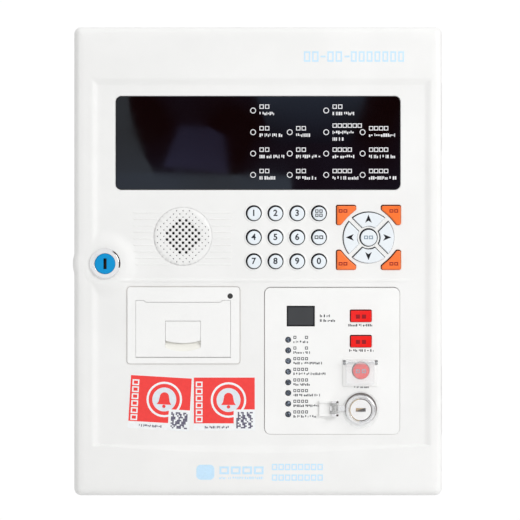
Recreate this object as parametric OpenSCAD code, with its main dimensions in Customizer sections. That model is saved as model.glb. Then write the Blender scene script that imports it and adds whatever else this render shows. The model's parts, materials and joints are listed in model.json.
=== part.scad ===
// Wall-mounted fire alarm control panel: a steel back box with the power supply, batteries and
// main board, and a hinged moulded door with the display, speaker, keypad, paper printer and
// release sub-panel.
// Frame: X to the right, Z up, front towards -Y, origin on the back face at the centre of the
// wall fixing holes. Depths are distances from the wall, so a depth d lies at Y = -d.

/* [Cabinet] */
// Width of the door, the widest part
door_w = 369; // [367:1:371]
// Height of the door
door_h = 470; // [468:1:474]
// Radius of the door's outer corners
door_r = 7; // [5:1:9]
// Depth of the steel back box
box_depth = 85; // [84:0.5:86]
// Width of the back box
box_w = 360; // [360:1:361]
// Height of the back box
box_h = 460; // [458:1:462]
// Thickness of the sheet steel
sheet = 1.5; // [1.2:0.1:1.6]
// Distance between the wall holes, left to right
hole_dx = 320; // [318:1:322]
// Distance between the wall holes, top to bottom
hole_dz = 410; // [406:1:414]
// Diameter of a wall hole
hole_d = 7; // [6:0.5:7]

/* [Door] */
// Depth of the door from its rim to its front bands
door_depth = 31; // [31:0.5:32]
// Wall of the moulded shell
wall = 3; // [2.8:0.1:3]
// Depth of the recessed middle of the door below its bands
recess = 2; // [2:0.1:2.4]
// Width of the black window
window_w = 285; // [283:0.5:286]
// Height of the black window
window_h = 93.6; // [92:0.2:94]
// Height of the window's centre
window_z = 118.5; // [118:0.5:119]

/* [Keys] */
// Distance between keypad columns
key_dx = 21.75; // [21.5:0.05:22]
// Distance between keypad rows
key_dz = 24.05; // [23.5:0.05:24.5]
// Radius of a round key cap
key_r = 7.15; // [6.9:0.05:7.4]
// Radius of the hole around a round key
key_hole_r = 8; // [7.9:0.05:8.2]
// Travel of a key
key_travel = 1; // [0.8:0.1:1]

/* [Printer] */
// Width of the printer bezel
printer_w = 112.8; // [112.4:0.1:113]
// Height of the printer bezel
printer_h = 76.9; // [76.6:0.1:77]
// Radius of a full paper roll
roll_r = 17.5; // [12:0.5:17.5]
// Width of the paper
paper_w = 57; // [56:0.5:58]

/* [Sub-panel] */
// Width of the release sub-panel
sub_w = 135.3; // [135:0.1:135.6]
// Height of the release sub-panel
sub_h = 146.9; // [146.6:0.1:147.2]
// Number of its status lamps
sub_lamps = 8; // [6:1:8]

/* [Hidden] */
$fn = 48;
eps = 0.5;

// depths from the wall
rim = box_depth + 2;
band = rim + door_depth;
face = band - recess;
inner = face - wall;
door_mid = [3.5, 0];

// moving gaps
gap = 0.3;
fit = 0.05;

// cable entries in the top of the box, and the main board on its standoffs
grommet_x = [-105, -35, 35, 105];
grommet_off = 42;
grommet_hole_r = 13;
grommet_bore_r = 10;
plate_w = 270;
plate_deep = 54;
plate_lap = 7;
plate_screw_x = [-131, 0, 131];
main_back = 12;
main_front = 13.6;
standoffs = [[-112, 53], [0, 53], [112, 53], [-112, 187], [0, 187], [112, 187]];

// hinge: two lift-off hinges on the right edge
hinge_x = box_w / 2 + 3.4;
hinge_off = rim - 1;
hinge_z = [146, -141];
hinge_half = 35;
knuckle_r = 3;
pin_r = 1.5;
leaf = 1.2;
leaf_screws = [7, 18, 29];

// keypad, direction pad and corner keys
keypad_at = [-4.3, 48.1];
pad_at = [110.6, 23.9];
arc_r = [11.5, 25.5];
arc_gap = 2.5;
centre_key_r = 8.5;
centre_hole_r = 9.25;
corner_half = 32.2;
corner_leg = 20;
corner_r = 29;
hole_grow = 0.35;
flange_grow = 0.9;
lip_w = 1.6;
lip_h = 0.6;
cap_proud = 1.6;
key_flange = 1.2;
key_stem_r = 2;
KEY_ROWS = [["key_1", "key_2", "key_3", "key_fn_a"],
            ["key_4", "key_5", "key_6", "key_fn_b"],
            ["key_7", "key_8", "key_9", "key_0"]];
ARC_KEYS = ["key_right", "key_up", "key_left", "key_down"];
CORNER_KEYS = ["key_corner_tr", "key_corner_tl", "key_corner_bl", "key_corner_br"];

// circuit board behind the door face
board_back = 101;
board_front = 102.6;
switch_w = 6;
switch_h = 3.5;
stem_end = board_front + switch_h + key_travel + 0.2;

// speaker
speaker_at = [-75.2, 24.9];
grille_r = 29.2;
grille_pitch = 3.2;
rib_z = 22.75;
rib_pitch = 6.5;
rib_span = [-124.7, -26.5];

// printer
printer_at = [-74.6, -64.2];
flap_x = [-122.3, -27.6];
flap_top = -39.3;
flap_axis_z = -94.8;
flap_axis = face - 0.8;
flap_t = 3;
flap_gap = 0.25;
bucket_back = 66;
bucket_w = 106;
bucket_h = 71;
roll_off = 88;
roll_z = -66;
platen_off = 109.5;
platen_z = -46;
platen_r = 3.8;
ear_x = [-107.5, -42.7];
latch_w = 35;
scoop_x = -75.1;
latch_axis_z = -61.1;
latch_axis = face - 0.6;
scoop_r = 43.6;
feed_at = [-27.9, -34.9];

// release sub-panel
sub_at = [74.35, -99.9];
sub_t = 2;
lamp_r = 2.7;
lamp_pitch = 10.67;
lamp_at = [30.2, -78.65];
window_lamp_x = [-4.9, 31.8, 68.3, 104.8];
window_lamp_z = [151, 129.3, 107.9, 86.5];
counter_at = [42.8, -54.95];
red_w = 21.1;
red_h = 11.7;
red_at = [[102.95, -54.7], [102.95, -80.1]];
release_at = [102.8, -109.35];
release_r = 8.4;
guard_x = [88, 117];
guard_axis = face + 6.6;
guard_axis_z = -101.3;
guard_bottom = -123.8;
switch_at = [102.8, -148.75];
cover_axis_x = 77;
cover_axis = face + 5.2;
cover_z = [-152.4, -142.2];
cover_r = 18.5;

// door lock
lock_at = [-153, -2.5];
lock_r = 15.5;
plug_r = 10.3;
cam_off = 80;
cam_reach = 18;
boss_front = face + 2.5;

// ---- helpers ----

// Extrudes a front-view outline between two depths from the wall
module slab(from, to)
    translate([0, -from, 0]) rotate([90, 0, 0]) linear_extrude(to - from) children();

// Turns a profile of [radius, depth] points about an axis through a front-view point
module turned(at, points)
    translate([at[0], 0, at[1]]) rotate([90, 0, 0]) rotate_extrude() polygon(points);

// Cylinder along X between two X values, at a depth and height
module rod_x(x0, x1, r, off, z)
    translate([x0, -off, z]) rotate([0, 90, 0]) cylinder(h = x1 - x0, r = r);

// Cylinder along Z between two heights, at an X and a depth
module rod_z(z0, z1, r, x, off) translate([x, -off, z0]) cylinder(h = z1 - z0, r = r);

// Box between two X values, two depths and two heights
module block(x, off, z)
    translate([x[0], -off[1], z[0]]) cube([x[1] - x[0], off[1] - off[0], z[1] - z[0]]);

// Rectangle with round corners, centred
module round_rect(w, h, r) {
    square([w - 2 * r, h], center = true);
    square([w, h - 2 * r], center = true);
    for (x = [-1, 1], z = [-1, 1]) translate([x * (w / 2 - r), z * (h / 2 - r)]) circle(r);
}

function key_at(row, col) = keypad_at + [col * key_dx, -row * key_dz];
function ring_at(r, i) = pad_at + r * [cos(90 * i), sin(90 * i)];
function corner_at(i) = pad_at + 26.2 * [sign(cos(90 * i + 45)), sign(sin(90 * i + 45))];

// Every tactile switch on the front board, under the key that presses it
switch_sites = concat(
    [for (row = [0:2], col = [0:3]) key_at(row, col)],
    [for (i = [0:3]) ring_at(18.5, i)],
    [for (i = [0:3]) corner_at(i)],
    [pad_at, red_at[0], red_at[1], release_at]);

// Screw posts that carry the front board
board_posts = [[-9, 168], [147, 168], [-9, 67], [147, 67], [-9, -12],
               [5.5, -100], [143.5, -100], [5.5, -168], [143.5, -168]];

// Posts that carry the door's steel frame
frame_posts = [[-169.5, 75], [-169.5, -75], [169.5, 75], [169.5, -75], [-169.5, 212], [169.5, 212],
               [-169.5, -212], [169.5, -212], [60, 219.5], [-60, 219.5], [60, -219.5], [-60, -219.5]];

// Front-view outline of a direction key that points right
module arc_key(grow) intersection() {
    difference() {
        circle(arc_r[1] + grow);
        circle(arc_r[0] - grow);
    }
    translate([(arc_gap - grow) * sqrt(2), 0]) polygon([[0, 0], [40, 40], [40, -40]]);
}

// Front-view outline of the corner key at the top right of the pad
module corner_key(grow) difference() {
    translate([1, 1] * (corner_half - corner_leg - grow)) square(corner_leg + 2 * grow);
    circle(corner_r - grow);
}

// A push piece: a cap through the hole, a flange behind it and a stem towards its switch.
// child 0 is the cap outline, child 1 the flange outline.
module push(skin_back, front, stem_at, stem_r) {
    slab(skin_back - gap, front) children(0);
    slab(skin_back - 0.2 - key_flange, skin_back - 0.2) children(1);
    slab(stem_end, skin_back - gap) translate(stem_at) circle(stem_r);
}

// ---- cabinet ----

module hinge_screw_sites() for (z = hinge_z, s = leaf_screws) translate([0, 0, z - s]) children();
module plate_screw_sites() for (x = plate_screw_x, side = [-1, 1])
    translate([x, -grommet_off + side * (plate_deep / 2 - plate_lap / 2), box_h / 2]) children();

module back_box() color("gainsboro") difference() {
    flange = 16;
    window = [plate_w / 2 - plate_lap, plate_deep / 2 - plate_lap];
    slab(0, box_depth) square([box_w, box_h], center = true);
    slab(sheet, box_depth - sheet) square([box_w - 2 * sheet, box_h - 2 * sheet], center = true);
    slab(box_depth - sheet - eps, box_depth + eps)
        square([box_w - 2 * flange, box_h - 2 * flange], center = true);
    for (x = [-1, 1], z = [-1, 1])
        slab(-eps, sheet + eps) translate([x * hole_dx / 2, z * hole_dz / 2]) circle(d = hole_d);
    block([-window[0], window[0]], [grommet_off - window[1], grommet_off + window[1]],
          [box_h / 2 - sheet - eps, box_h / 2 + eps]);
    plate_screw_sites() translate([0, 0, -sheet - eps]) cylinder(h = sheet + 2 * eps, r = pin_r + 0.1);
    hinge_screw_sites() rod_x(box_w / 2 - sheet - eps, box_w / 2 + eps, pin_r + 0.1, 70, 0);
}

// Plate that carries the cable entries, screwed over a window in the top of the box
module gland_plate() color("gainsboro") difference() {
    top = box_h / 2 + sheet;
    block([-plate_w / 2, plate_w / 2], [grommet_off - plate_deep / 2, grommet_off + plate_deep / 2],
          [box_h / 2, top]);
    for (x = grommet_x) rod_z(box_h / 2 - eps, top + eps, grommet_hole_r, x, grommet_off);
    plate_screw_sites() translate([0, 0, -eps]) cylinder(h = sheet + 2 * eps, r = pin_r + 0.1);
}

// Rubber grommets that line the cable entries in the gland plate
module cable_grommets() color("dimgray") {
    lip = 3;
    for (x = grommet_x)
        translate([x, -grommet_off, box_h / 2 + sheet]) rotate_extrude() polygon([
            [grommet_bore_r, lip], [grommet_bore_r, -sheet - lip], [grommet_hole_r + 2, -sheet - lip],
            [grommet_hole_r + 3, -sheet - lip + 1], [grommet_hole_r + 3, -sheet],
            [grommet_hole_r, -sheet], [grommet_hole_r, 0], [grommet_hole_r + 3, 0],
            [grommet_hole_r + 3, lip - 1], [grommet_hole_r + 2, lip]]);
}

// Lower half of each hinge: leaf on the side of the box, knuckle and pin
module hinge_leaves_box() color("silver") {
    side = box_w / 2;
    for (z = hinge_z) difference() {
        union() {
            block([side, side + leaf], [58, hinge_off], [z - hinge_half, z - gap]);
            rod_z(z - hinge_half, z - gap, knuckle_r, hinge_x, hinge_off);
            rod_z(z - 2, z + hinge_half - 3, pin_r, hinge_x, hinge_off);
        }
        for (s = leaf_screws) rod_x(side - eps, side + leaf + eps, pin_r + 0.1, 70, z - s);
    }
}

// Hinge screws with their nuts, gland plate screws, and the board's standoffs with their screws
module box_fasteners() color("silver") {
    side = box_w / 2;
    head_r = 2.6;
    hinge_screw_sites() {
        rod_x(side - 6, side + leaf + 0.2, pin_r, 70, 0);
        rod_x(side + leaf, side + leaf + 1.4, head_r, 70, 0);
        rod_x(side - sheet - 1.8, side - sheet, 2.8, 70, 0);
    }
    plate_screw_sites() {
        translate([0, 0, -6]) cylinder(h = 6 + sheet + 0.2, r = pin_r);
        translate([0, 0, sheet]) cylinder(h = 1.4, r = head_r);
    }
    for (p = standoffs) {
        slab(sheet, main_back) translate(p) circle(3);
        slab(main_back - 0.2, main_front + 0.2) translate(p) circle(pin_r);
        slab(main_front, main_front + 1.6) translate(p) circle(head_r);
    }
}

module main_board() color("seagreen") difference() {
    union() {
        slab(main_back, main_front) translate([0, 120]) round_rect(240, 150, 3);
        // processor, memory and relay row
        slab(main_front, main_front + 1.6) translate([-30, 128]) square(28, center = true);
        for (x = [6, 26])
            slab(main_front, main_front + 1.4) translate([x, 132]) square([12, 20], center = true);
        for (i = [0:5])
            slab(main_front, main_front + 15) translate([-88 + i * 17, 78]) square([13, 20], center = true);
        // smoothing capacitors and a fuse row
        for (i = [0:2]) slab(main_front, main_front + 22) translate([50 + i * 20, 80]) circle(8);
        for (i = [0:3])
            slab(main_front, main_front + 8) translate([58 + i * 13, 118]) square([6, 22], center = true);
        // ribbon header
        slab(main_front, main_front + 9) translate([-80, 128]) square([9, 40], center = true);
    }
    for (p = standoffs) slab(main_back - eps, main_front + eps) translate(p) circle(pin_r + 0.1);
}

// Two rows of screw terminals along the top edge of the main board
module terminal_blocks() color("darkolivegreen") {
    pitch = 5;
    ways = 6;
    height = 14;
    for (i = [0:5]) {
        x0 = -108 + i * 37;
        difference() {
            slab(main_front, main_front + height) translate([x0, 168]) square([ways * pitch, 11]);
            for (w = [0:ways - 1]) {
                x = x0 + (w + 0.5) * pitch;
                slab(main_front + height - 4, main_front + height + eps) translate([x, 172.5]) circle(1.9);
                block([x - 1.8, x + 1.8], [main_front + 3, main_front + 7.5], [176, 180]);
            }
        }
    }
}

// Switched-mode supply in a slotted steel cage
module power_supply() color("lightsteelblue") difference() {
    x = [-165, -35];
    z = [-118, -20];
    depth = 38;
    block(x, [sheet, sheet + depth], z);
    for (i = [0:8]) slab(sheet + depth - 1.2, sheet + depth + eps)
        translate([-150 + i * 12.5, -69]) round_rect(3, 60, 1.4);
    for (i = [0:4]) block([x[1] - 14, x[1] + eps], [sheet + 10, sheet + 24], [-106 + i * 18, -96 + i * 18]);
}

// Two sealed 12 V batteries standing side by side on the floor of the box
module batteries() color("dimgray") {
    w = 151;
    deep = 65;
    tall = 94;
    floor_z = -box_h / 2 + sheet;
    for (side = [-1, 1]) translate([side * (w / 2 + 1), 0, 0]) {
        block([-w / 2, w / 2], [sheet, sheet + deep], [floor_z, floor_z + tall - 12]);
        block([-w / 2 + 1.5, w / 2 - 1.5], [sheet + 1.5, sheet + deep - 1.5],
              [floor_z + tall - 12, floor_z + tall]);
        for (t = [-1, 1])
            block([t * 62 - 3, t * 62 + 3], [sheet + 12, sheet + 13], [floor_z + tall, floor_z + tall + 6]);
    }
}

// Steel strap across the batteries, flanged onto both sides of the box
module battery_bracket() color("silver") {
    near = sheet + 65;
    end = box_w / 2 - sheet;
    z = [-198, -176];
    block([-end, end], [near, near + sheet], z);
    for (x = [-end, end - sheet]) block([x, x + sheet], [near - 16, near + sheet], z);
}

// ---- door, fixed pieces ----

// Front-view outline of the recessed middle, with a shallow arc along its lower edge
module recess_outline() {
    half = 168.5;
    top = 181;
    arc_half = 163;
    arc_drop = 8;
    arc_top = -184;
    big_r = (arc_half * arc_half + arc_drop * arc_drop) / (2 * arc_drop);
    translate([door_mid[0] - half, arc_top]) square([2 * half, top - arc_top]);
    translate([2, 0]) intersection() {
        translate([-arc_half, arc_top - arc_drop - 1]) square([2 * arc_half, arc_drop + 1.5]);
        translate([0, arc_top - arc_drop + big_r]) circle(big_r, $fn = 1440);
    }
}

module door_openings() {
    ledge = sub_t;
    // window rebate and the opening behind it
    slab(face - 1.8, band) translate([0, window_z]) round_rect(window_w + 0.6, window_h + 0.6, 5.6);
    slab(rim, band) translate([0, window_z]) round_rect(window_w - 10, window_h - 10, 3);
    slab(inner - eps, band) translate(speaker_at) circle(grille_r + gap);
    slab(inner - eps, band) translate(printer_at) round_rect(printer_w + 0.6, printer_h + 0.6, 3.3);
    slab(face - ledge, band) translate(sub_at) round_rect(sub_w + 0.6, sub_h + 0.6, 6.3);
    slab(inner - eps, band) translate(sub_at) round_rect(sub_w - 6, sub_h - 6, 4);
    slab(inner - eps, band + 5) translate(lock_at) circle(13.8);
    slab(inner - eps, band) {
        for (row = [0:2], col = [0:3]) translate(key_at(row, col)) circle(key_hole_r);
        translate(pad_at) {
            circle(centre_hole_r);
            for (i = [0:3]) rotate(90 * i) {
                arc_key(hole_grow);
                corner_key(hole_grow);
            }
        }
    }
}

module door_shell() color("whitesmoke") difference() {
    union() {
        difference() {
            slab(rim, band) round_rect(door_w, door_h, door_r);
            slab(rim - eps, inner) round_rect(door_w - 2 * wall, door_h - 2 * wall, door_r - wall);
            slab(face, band + eps) recess_outline();
        }
        // conical boss under the lock, wider than the left band
        slab(inner, face) translate(lock_at) circle(33);
        turned(lock_at, [[0, face - 0.5], [33, face - 0.5], [33, face], [19.5, boss_front],
                         [0, boss_front]]);
        // raised lips round the keys
        slab(face - eps, face + lip_h)
            for (row = [0:2], col = [0:3]) translate(key_at(row, col)) circle(key_hole_r + lip_w);
        // fine ribs either side of the speaker
        slab(face - eps, face + 0.6) difference() {
            for (i = [-4:4]) translate([rib_span[0], rib_z - 0.5 + i * rib_pitch])
                square([rib_span[1] - rib_span[0], 1]);
            translate(speaker_at) circle(grille_r + 2);
        }
        // posts for the circuit board and the steel frame
        slab(board_front, inner + eps) for (p = board_posts) translate(p) circle(3);
        slab(board_back - 1.2, inner) for (p = board_posts) translate(p) circle(pin_r);
        slab(rim + sheet, inner + eps) for (p = frame_posts) translate(p) circle(4);
        // stakes that hold the hinge leaves
        for (z = hinge_z, s = leaf_screws)
            rod_x(door_w / 2 - wall - 2.2, door_w / 2 - wall + eps, 1.6, 102, z + s);
    }
    door_openings();
    // room for the hinge knuckles in the edge of the right wall
    for (z = hinge_z) block([box_w / 2 + 0.2, door_w / 2 + 2], [rim - 1, hinge_off + knuckle_r + 0.6],
                            [z - hinge_half - gap, z + hinge_half + gap]);
}

// Steel ring that stiffens the door and carries its seal
module door_frame() color("silver") slab(rim, rim + sheet) difference() {
    round_rect(355, 455, 4);
    square([323, 423], center = true);
}

module door_gasket() color("dimgray") slab(rim - 1.8, rim) difference() {
    round_rect(354, 454, 4);
    round_rect(334, 434, 3);
}

// Upper half of each hinge: leaf inside the door's right wall and a bored knuckle
module hinge_leaves_door() color("silver") {
    seat = door_w / 2 - wall;
    for (z = hinge_z) difference() {
        union() {
            block([seat - leaf, seat], [hinge_off, 110], [z + gap, z + hinge_half]);
            rod_z(z + gap, z + hinge_half, knuckle_r, hinge_x, hinge_off);
        }
        rod_z(z + gap - eps, z + hinge_half + eps, pin_r + fit, hinge_x, hinge_off);
        for (s = leaf_screws) rod_x(seat - leaf - eps, seat + eps, 1.7, 102, z + s);
    }
}

module display_window() color([0.06, 0.06, 0.07])
    slab(face - 1.8, face) translate([0, window_z]) round_rect(window_w, window_h, 5.5);

module lcd_module() color("darkslategray") {
    back = face - 1.8;
    slab(back - 6, back) translate([-74, window_z]) square([116, 80], center = true);
    slab(back - 7.6, back - 6) translate([-74, window_z]) square([124, 82], center = true);
    slab(back - 11, back - 7.6) translate([-74, 150]) square([60, 8], center = true);
}

// Board behind the lamps, the keypad and the sub-panel, with its tactile switches and headers
module front_board() color("darkgreen") difference() {
    union() {
        slab(board_back, board_front) {
            translate([69, 77]) square([166, 190], center = true);
            translate([74.5, -95.5]) square([146, 157], center = true);
        }
        slab(board_front, board_front + switch_h)
            for (s = switch_sites) translate(s) square(switch_w, center = true);
        // headers and a controller on the rear
        slab(board_back - 8, board_back)
            for (z = [120, 40]) translate([20, z]) square([9, 44], center = true);
        slab(board_back - 1.5, board_back) translate([80, 95]) square(20, center = true);
        slab(board_back - 6, board_back)
            for (i = [0:3]) translate([62 + i * 14, -30]) square([10, 16], center = true);
    }
    slab(board_back - eps, board_front + eps) {
        for (p = board_posts) translate(p) circle(pin_r + 0.1);
        translate(switch_at) circle(14);
    }
}

// Lamps behind the right half of the window, whose second and fourth columns have none in the top
// row, and the column of status lamps in the sub-panel
module indicator_leds() {
    color("white") for (col = [0:3], row = [0:3])
        if (row > 0 || col % 2 == 0) lamp([window_lamp_x[col], window_lamp_z[row]], 2.5, face - 5);
    color("dimgray") for (i = [0:sub_lamps - 1])
        lamp(lamp_at - [0, i * lamp_pitch], lamp_r, face - 1.4);
}

// Round lamp standing on the front board
module lamp(at, r, shoulder) {
    slab(board_front, shoulder) translate(at) circle(r);
    translate([at[0], -shoulder, at[1]]) sphere(r);
}

// Perforated disc over the speaker: through holes in the middle and shallow dimples around them
module speaker_grille() color("whitesmoke") {
    hole_area_r = 16.5;
    dimple_area_r = 27;
    steps = [for (i = [-9:9], j = [-9:9]) if ((i + j) % 2 == 0) [i, j] * grille_pitch];
    difference() {
        union() {
            slab(inner, face) translate(speaker_at) circle(grille_r);
            slab(inner - 1, inner) translate(speaker_at) circle(grille_r + 4);
        }
        slab(inner - 1 - eps, face + eps) translate(speaker_at)
            for (p = steps) if (norm(p) <= hole_area_r) translate(p) circle(1.3, $fn = 16);
        slab(face - 0.6, face + eps) translate(speaker_at)
            for (p = steps) if (norm(p) > hole_area_r && norm(p) < dimple_area_r)
                translate(p) circle(0.5, $fn = 16);
    }
}

module speaker() color("dimgray") turned(speaker_at, [
    [0, 92], [19, 92], [20, 93], [20, 100], [17, 100], [28, inner - 3], [32.5, inner - 3],
    [32.5, inner - 1], [27, inner - 1], [9, 104], [0, 106]]);

module subpanel_plate() color("whitesmoke") slab(face - sub_t, face) difference() {
    translate(sub_at) round_rect(sub_w, sub_h, 6);
    for (i = [0:sub_lamps - 1]) translate(lamp_at - [0, i * lamp_pitch]) circle(lamp_r + 0.2);
    translate(counter_at) square([28, 20.5], center = true);
    for (p = red_at) translate(p) round_rect(red_w + 0.8, red_h + 0.8, 1.4);
    translate(release_at) circle(release_r + 0.5);
    translate(switch_at) circle(12);
}

// Two-digit countdown display standing on the front board
module countdown_display() color([0.28, 0.28, 0.3])
    slab(board_front, face - 0.4) translate(counter_at) square([27.4, 19.9], center = true);

// Release key switch: barrel, bezel, nut and the bracket that its cover swings on
module keyswitch_body() color("silver") {
    bracket_x = [61.3, 72];
    prongs = [[cover_z[1] + gap, cover_z[1] + 2.7], [cover_z[0] - 2.7, cover_z[0] - gap]];
    bezel_front = face + 3;
    difference() {
        union() {
            turned(switch_at, [[0, 95], [11.8, 95], [11.8, face], [15, face], [15, face + 1.6],
                               [13.4, bezel_front], [0, bezel_front]]);
            slab(80, 95) translate(switch_at) square(20, center = true);
            block([bracket_x[0], switch_at[0] - 12], [face, face + 0.8], [-150, -145]);
            block(bracket_x, [face, face + 2], [prongs[1][0], prongs[0][1]]);
            for (z = prongs) {
                block([bracket_x[0], cover_axis_x], [face, face + 3.5], z);
                block([cover_axis_x - 3.5, cover_axis_x + 3.5], [face, cover_axis], z);
                rod_z(z[0], z[1], 4, cover_axis_x, cover_axis);
            }
        }
        slab(face - 1.5, bezel_front + eps) translate(switch_at) circle(11.3);
        slab(96, face) translate(switch_at) circle(6 + fit * 2);
        rod_z(prongs[1][0] - eps, prongs[0][1] + eps, pin_r + fit, cover_axis_x, cover_axis);
    }
    slab(110, face - sub_t) translate(switch_at) difference() {
        circle(17, $fn = 6);
        circle(11.9);
    }
}

// Base of the flip-up guard: a low frame with two hinge ears
module guard_base() color("whitesmoke") {
    ear = [guard_x[0] - 3, guard_x[0] - gap];
    difference() {
        union() {
            slab(face, face + 1) translate([102.5, -111.5]) round_rect(35, 28, 1.5);
            for (x = [ear, [guard_x[1] + gap, guard_x[1] + 3]]) {
                block(x, [face, guard_axis], [guard_axis_z - 2.2, guard_axis_z + 2.2]);
                rod_x(x[0], x[1], 2.2, guard_axis, guard_axis_z);
            }
        }
        slab(face - eps, face + 2) translate(release_at) circle(release_r + 0.5);
        rod_x(ear[0] - eps, guard_x[1] + 3 + eps, 1 + fit, guard_axis, guard_axis_z);
    }
}

// Printer bucket with its bezel, roll arms and print head
module printer_housing() color("whitesmoke") {
    flap_hole_x = [flap_x[0] - flap_gap, flap_x[1] + flap_gap];
    flap_hole_z = [flap_axis_z - 1.8, flap_top + flap_gap];
    bezel_front = face + 1;
    difference() {
        union() {
            slab(inner, bezel_front) translate(printer_at) round_rect(printer_w, printer_h, 3);
            slab(inner - 2, inner) translate(printer_at) round_rect(printer_w + 7, printer_h + 7, 3);
            slab(bucket_back, inner)
                translate(printer_at - [0.4, 0.3]) square([bucket_w, bucket_h], center = true);
        }
        block(flap_hole_x, [bucket_back + 2, bezel_front + eps], flap_hole_z);
        slab(face - 1, bezel_front + eps) translate(feed_at) circle(2.7);
        slab(face - 8, face - 1) translate(feed_at) circle(3.5);
        rod_x(flap_x[0] - 3, flap_x[1] + 3, 1 + fit, flap_axis, flap_axis_z);
    }
    // tear bar over the paper slot
    slab(inner, bezel_front) tear_bar_outline(0);
    // arms that the roll turns on, and the print head behind the platen
    for (x = [[flap_hole_x[0], -100.5], [-49.5, flap_hole_x[1]]]) rod_x(x[0], x[1], 6, roll_off, roll_z);
    block([-104, -46], [98, 104.8], [-50, flap_hole_z[1]]);
}

// Lock body: chrome collar, threaded barrel and a hexagonal nut
module lock_body() color("silver") {
    difference() {
        turned(lock_at, [[0, 94], [13.5, 94], [13.5, boss_front], [lock_r, boss_front],
                         [lock_r, boss_front + 1.2], [14, boss_front + 2.4], [0, boss_front + 2.4]]);
        slab(97.5, boss_front + 3) translate(lock_at) circle(plug_r + 0.1);
        slab(93, 98) translate(lock_at) circle(5.1);
    }
    slab(inner - 6, inner) translate(lock_at) difference() {
        circle(18, $fn = 6);
        circle(13.6);
    }
}

// ---- door, moving pieces ----

module lock_plug() color("royalblue") difference() {
    turned(lock_at, [[0, 78.5], [4, 78.5], [4, cam_off + 2], [5, cam_off + 2], [5, 98], [plug_r, 98],
                     [plug_r, face + 4.2], [plug_r - 0.6, face + 4.7], [0, face + 4.7]]);
    slab(face - 6, face + 6) translate(lock_at) square([3, 10.5], center = true);
}

module lock_cam() color("silver") slab(cam_off, cam_off + 2) translate(lock_at) difference() {
    union() {
        circle(8);
        translate([-6, -cam_reach]) square([12, cam_reach]);
        translate([0, -cam_reach]) circle(6);
    }
    circle(4);
}

module paper_roll() color("white") {
    mid = (flap_x[0] + flap_x[1]) / 2;
    difference() {
        rod_x(mid - paper_w / 2, mid + paper_w / 2, roll_r, roll_off, roll_z);
        rod_x(mid - paper_w, mid + paper_w, 6.1, roll_off, roll_z);
    }
}

// Front-view outline of the bezel's tear bar, which reaches down between the lid's corners
module tear_bar_outline(grow) offset(delta = grow) polygon([
    [-114.2, flap_top + 2], [-114.2, flap_top + flap_gap - 0.1], [-112.2, flap_top - 1.6],
    [-37.7, flap_top - 1.6], [-35.7, flap_top + flap_gap - 0.1], [-35.7, flap_top + 2]]);

// Front-view outline of the hollow that a finger reaches under the latch with
module scoop_outline() translate([scoop_x, 0]) intersection() {
    translate([-latch_w / 2 - flap_gap, -91])
        square([latch_w + 2 * flap_gap, 91 + latch_axis_z + 1.4]);
    translate([0, -90.2 + scoop_r]) circle(scoop_r, $fn = 192);
}

// Printer lid with its finger scoop, platen ears and end pins
module printer_flap() color("whitesmoke") {
    front = flap_axis + flap_t / 2;
    back = flap_axis - flap_t / 2;
    difference() {
        union() {
            slab(back, front) difference() {
                translate([flap_x[0], flap_axis_z]) square([flap_x[1] - flap_x[0], flap_top - flap_axis_z]);
                tear_bar_outline(flap_gap + 0.1);
            }
            rod_x(flap_x[0], flap_x[1], flap_t / 2, flap_axis, flap_axis_z);
            rod_x(flap_x[0] - 2.7, flap_x[1] + 2.7, 1, flap_axis, flap_axis_z);
            slab(107.5, back) translate([scoop_x, -75]) square([41, 33.5], center = true);
            for (x = ear_x) {
                block([x - 1, x + 1], [platen_off, back], [platen_z - 3.2, platen_z + 3.2]);
                rod_x(x - 1, x + 1, 3.2, platen_off, platen_z);
            }
        }
        slab(109, front + eps) scoop_outline();
        for (x = ear_x) rod_x(x - 2, x + 2, pin_r + fit, platen_off, platen_z);
        rod_x(scoop_x - latch_w / 2 - 2.2, scoop_x + latch_w / 2 + 2.2, 0.75, latch_axis, latch_axis_z);
    }
}

module platen_roller() color("black") {
    rod_x(ear_x[0] + 1.5, ear_x[1] - 1.5, platen_r, platen_off, platen_z);
    rod_x(ear_x[0] - 2, ear_x[1] + 2, pin_r, platen_off, platen_z);
}

// Latch plate, hinged at its top edge inside the scoop
module printer_latch() color("whitesmoke") {
    bow_r = 62.5;
    slab(latch_axis - 1.1, latch_axis + 1.1) translate([scoop_x, 0]) intersection() {
        translate([-latch_w / 2, -83]) square([latch_w, 83 + latch_axis_z]);
        translate([0, -82 + bow_r]) circle(bow_r, $fn = 192);
    }
    rod_x(scoop_x - latch_w / 2, scoop_x + latch_w / 2, 1.1, latch_axis, latch_axis_z);
    rod_x(scoop_x - latch_w / 2 - 2, scoop_x + latch_w / 2 + 2, 0.7, latch_axis, latch_axis_z);
}

module feed_button() color([0.1, 0.1, 0.1]) turned(feed_at, [
    [0, face - 6], [1.5, face - 6], [1.5, face - 2.6], [3.1, face - 2.6], [3.1, face - 1.2],
    [2.3, face - 1.2], [2.3, face + 0.8], [0, face + 0.8]]);

module red_button(at) color("red") push(face - sub_t, face + 1.2, at, 2.5) {
    translate(at) round_rect(red_w, red_h, 1);
    translate(at) round_rect(red_w + 2.4, red_h + 2.4, 1.5);
}
module start_button() red_button(red_at[0]);
module stop_button() red_button(red_at[1]);

module release_button() color("red") push(face - sub_t, face + 2.8, release_at, 3) {
    translate(release_at) circle(release_r);
    translate(release_at) circle(release_r + 2);
}

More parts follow.
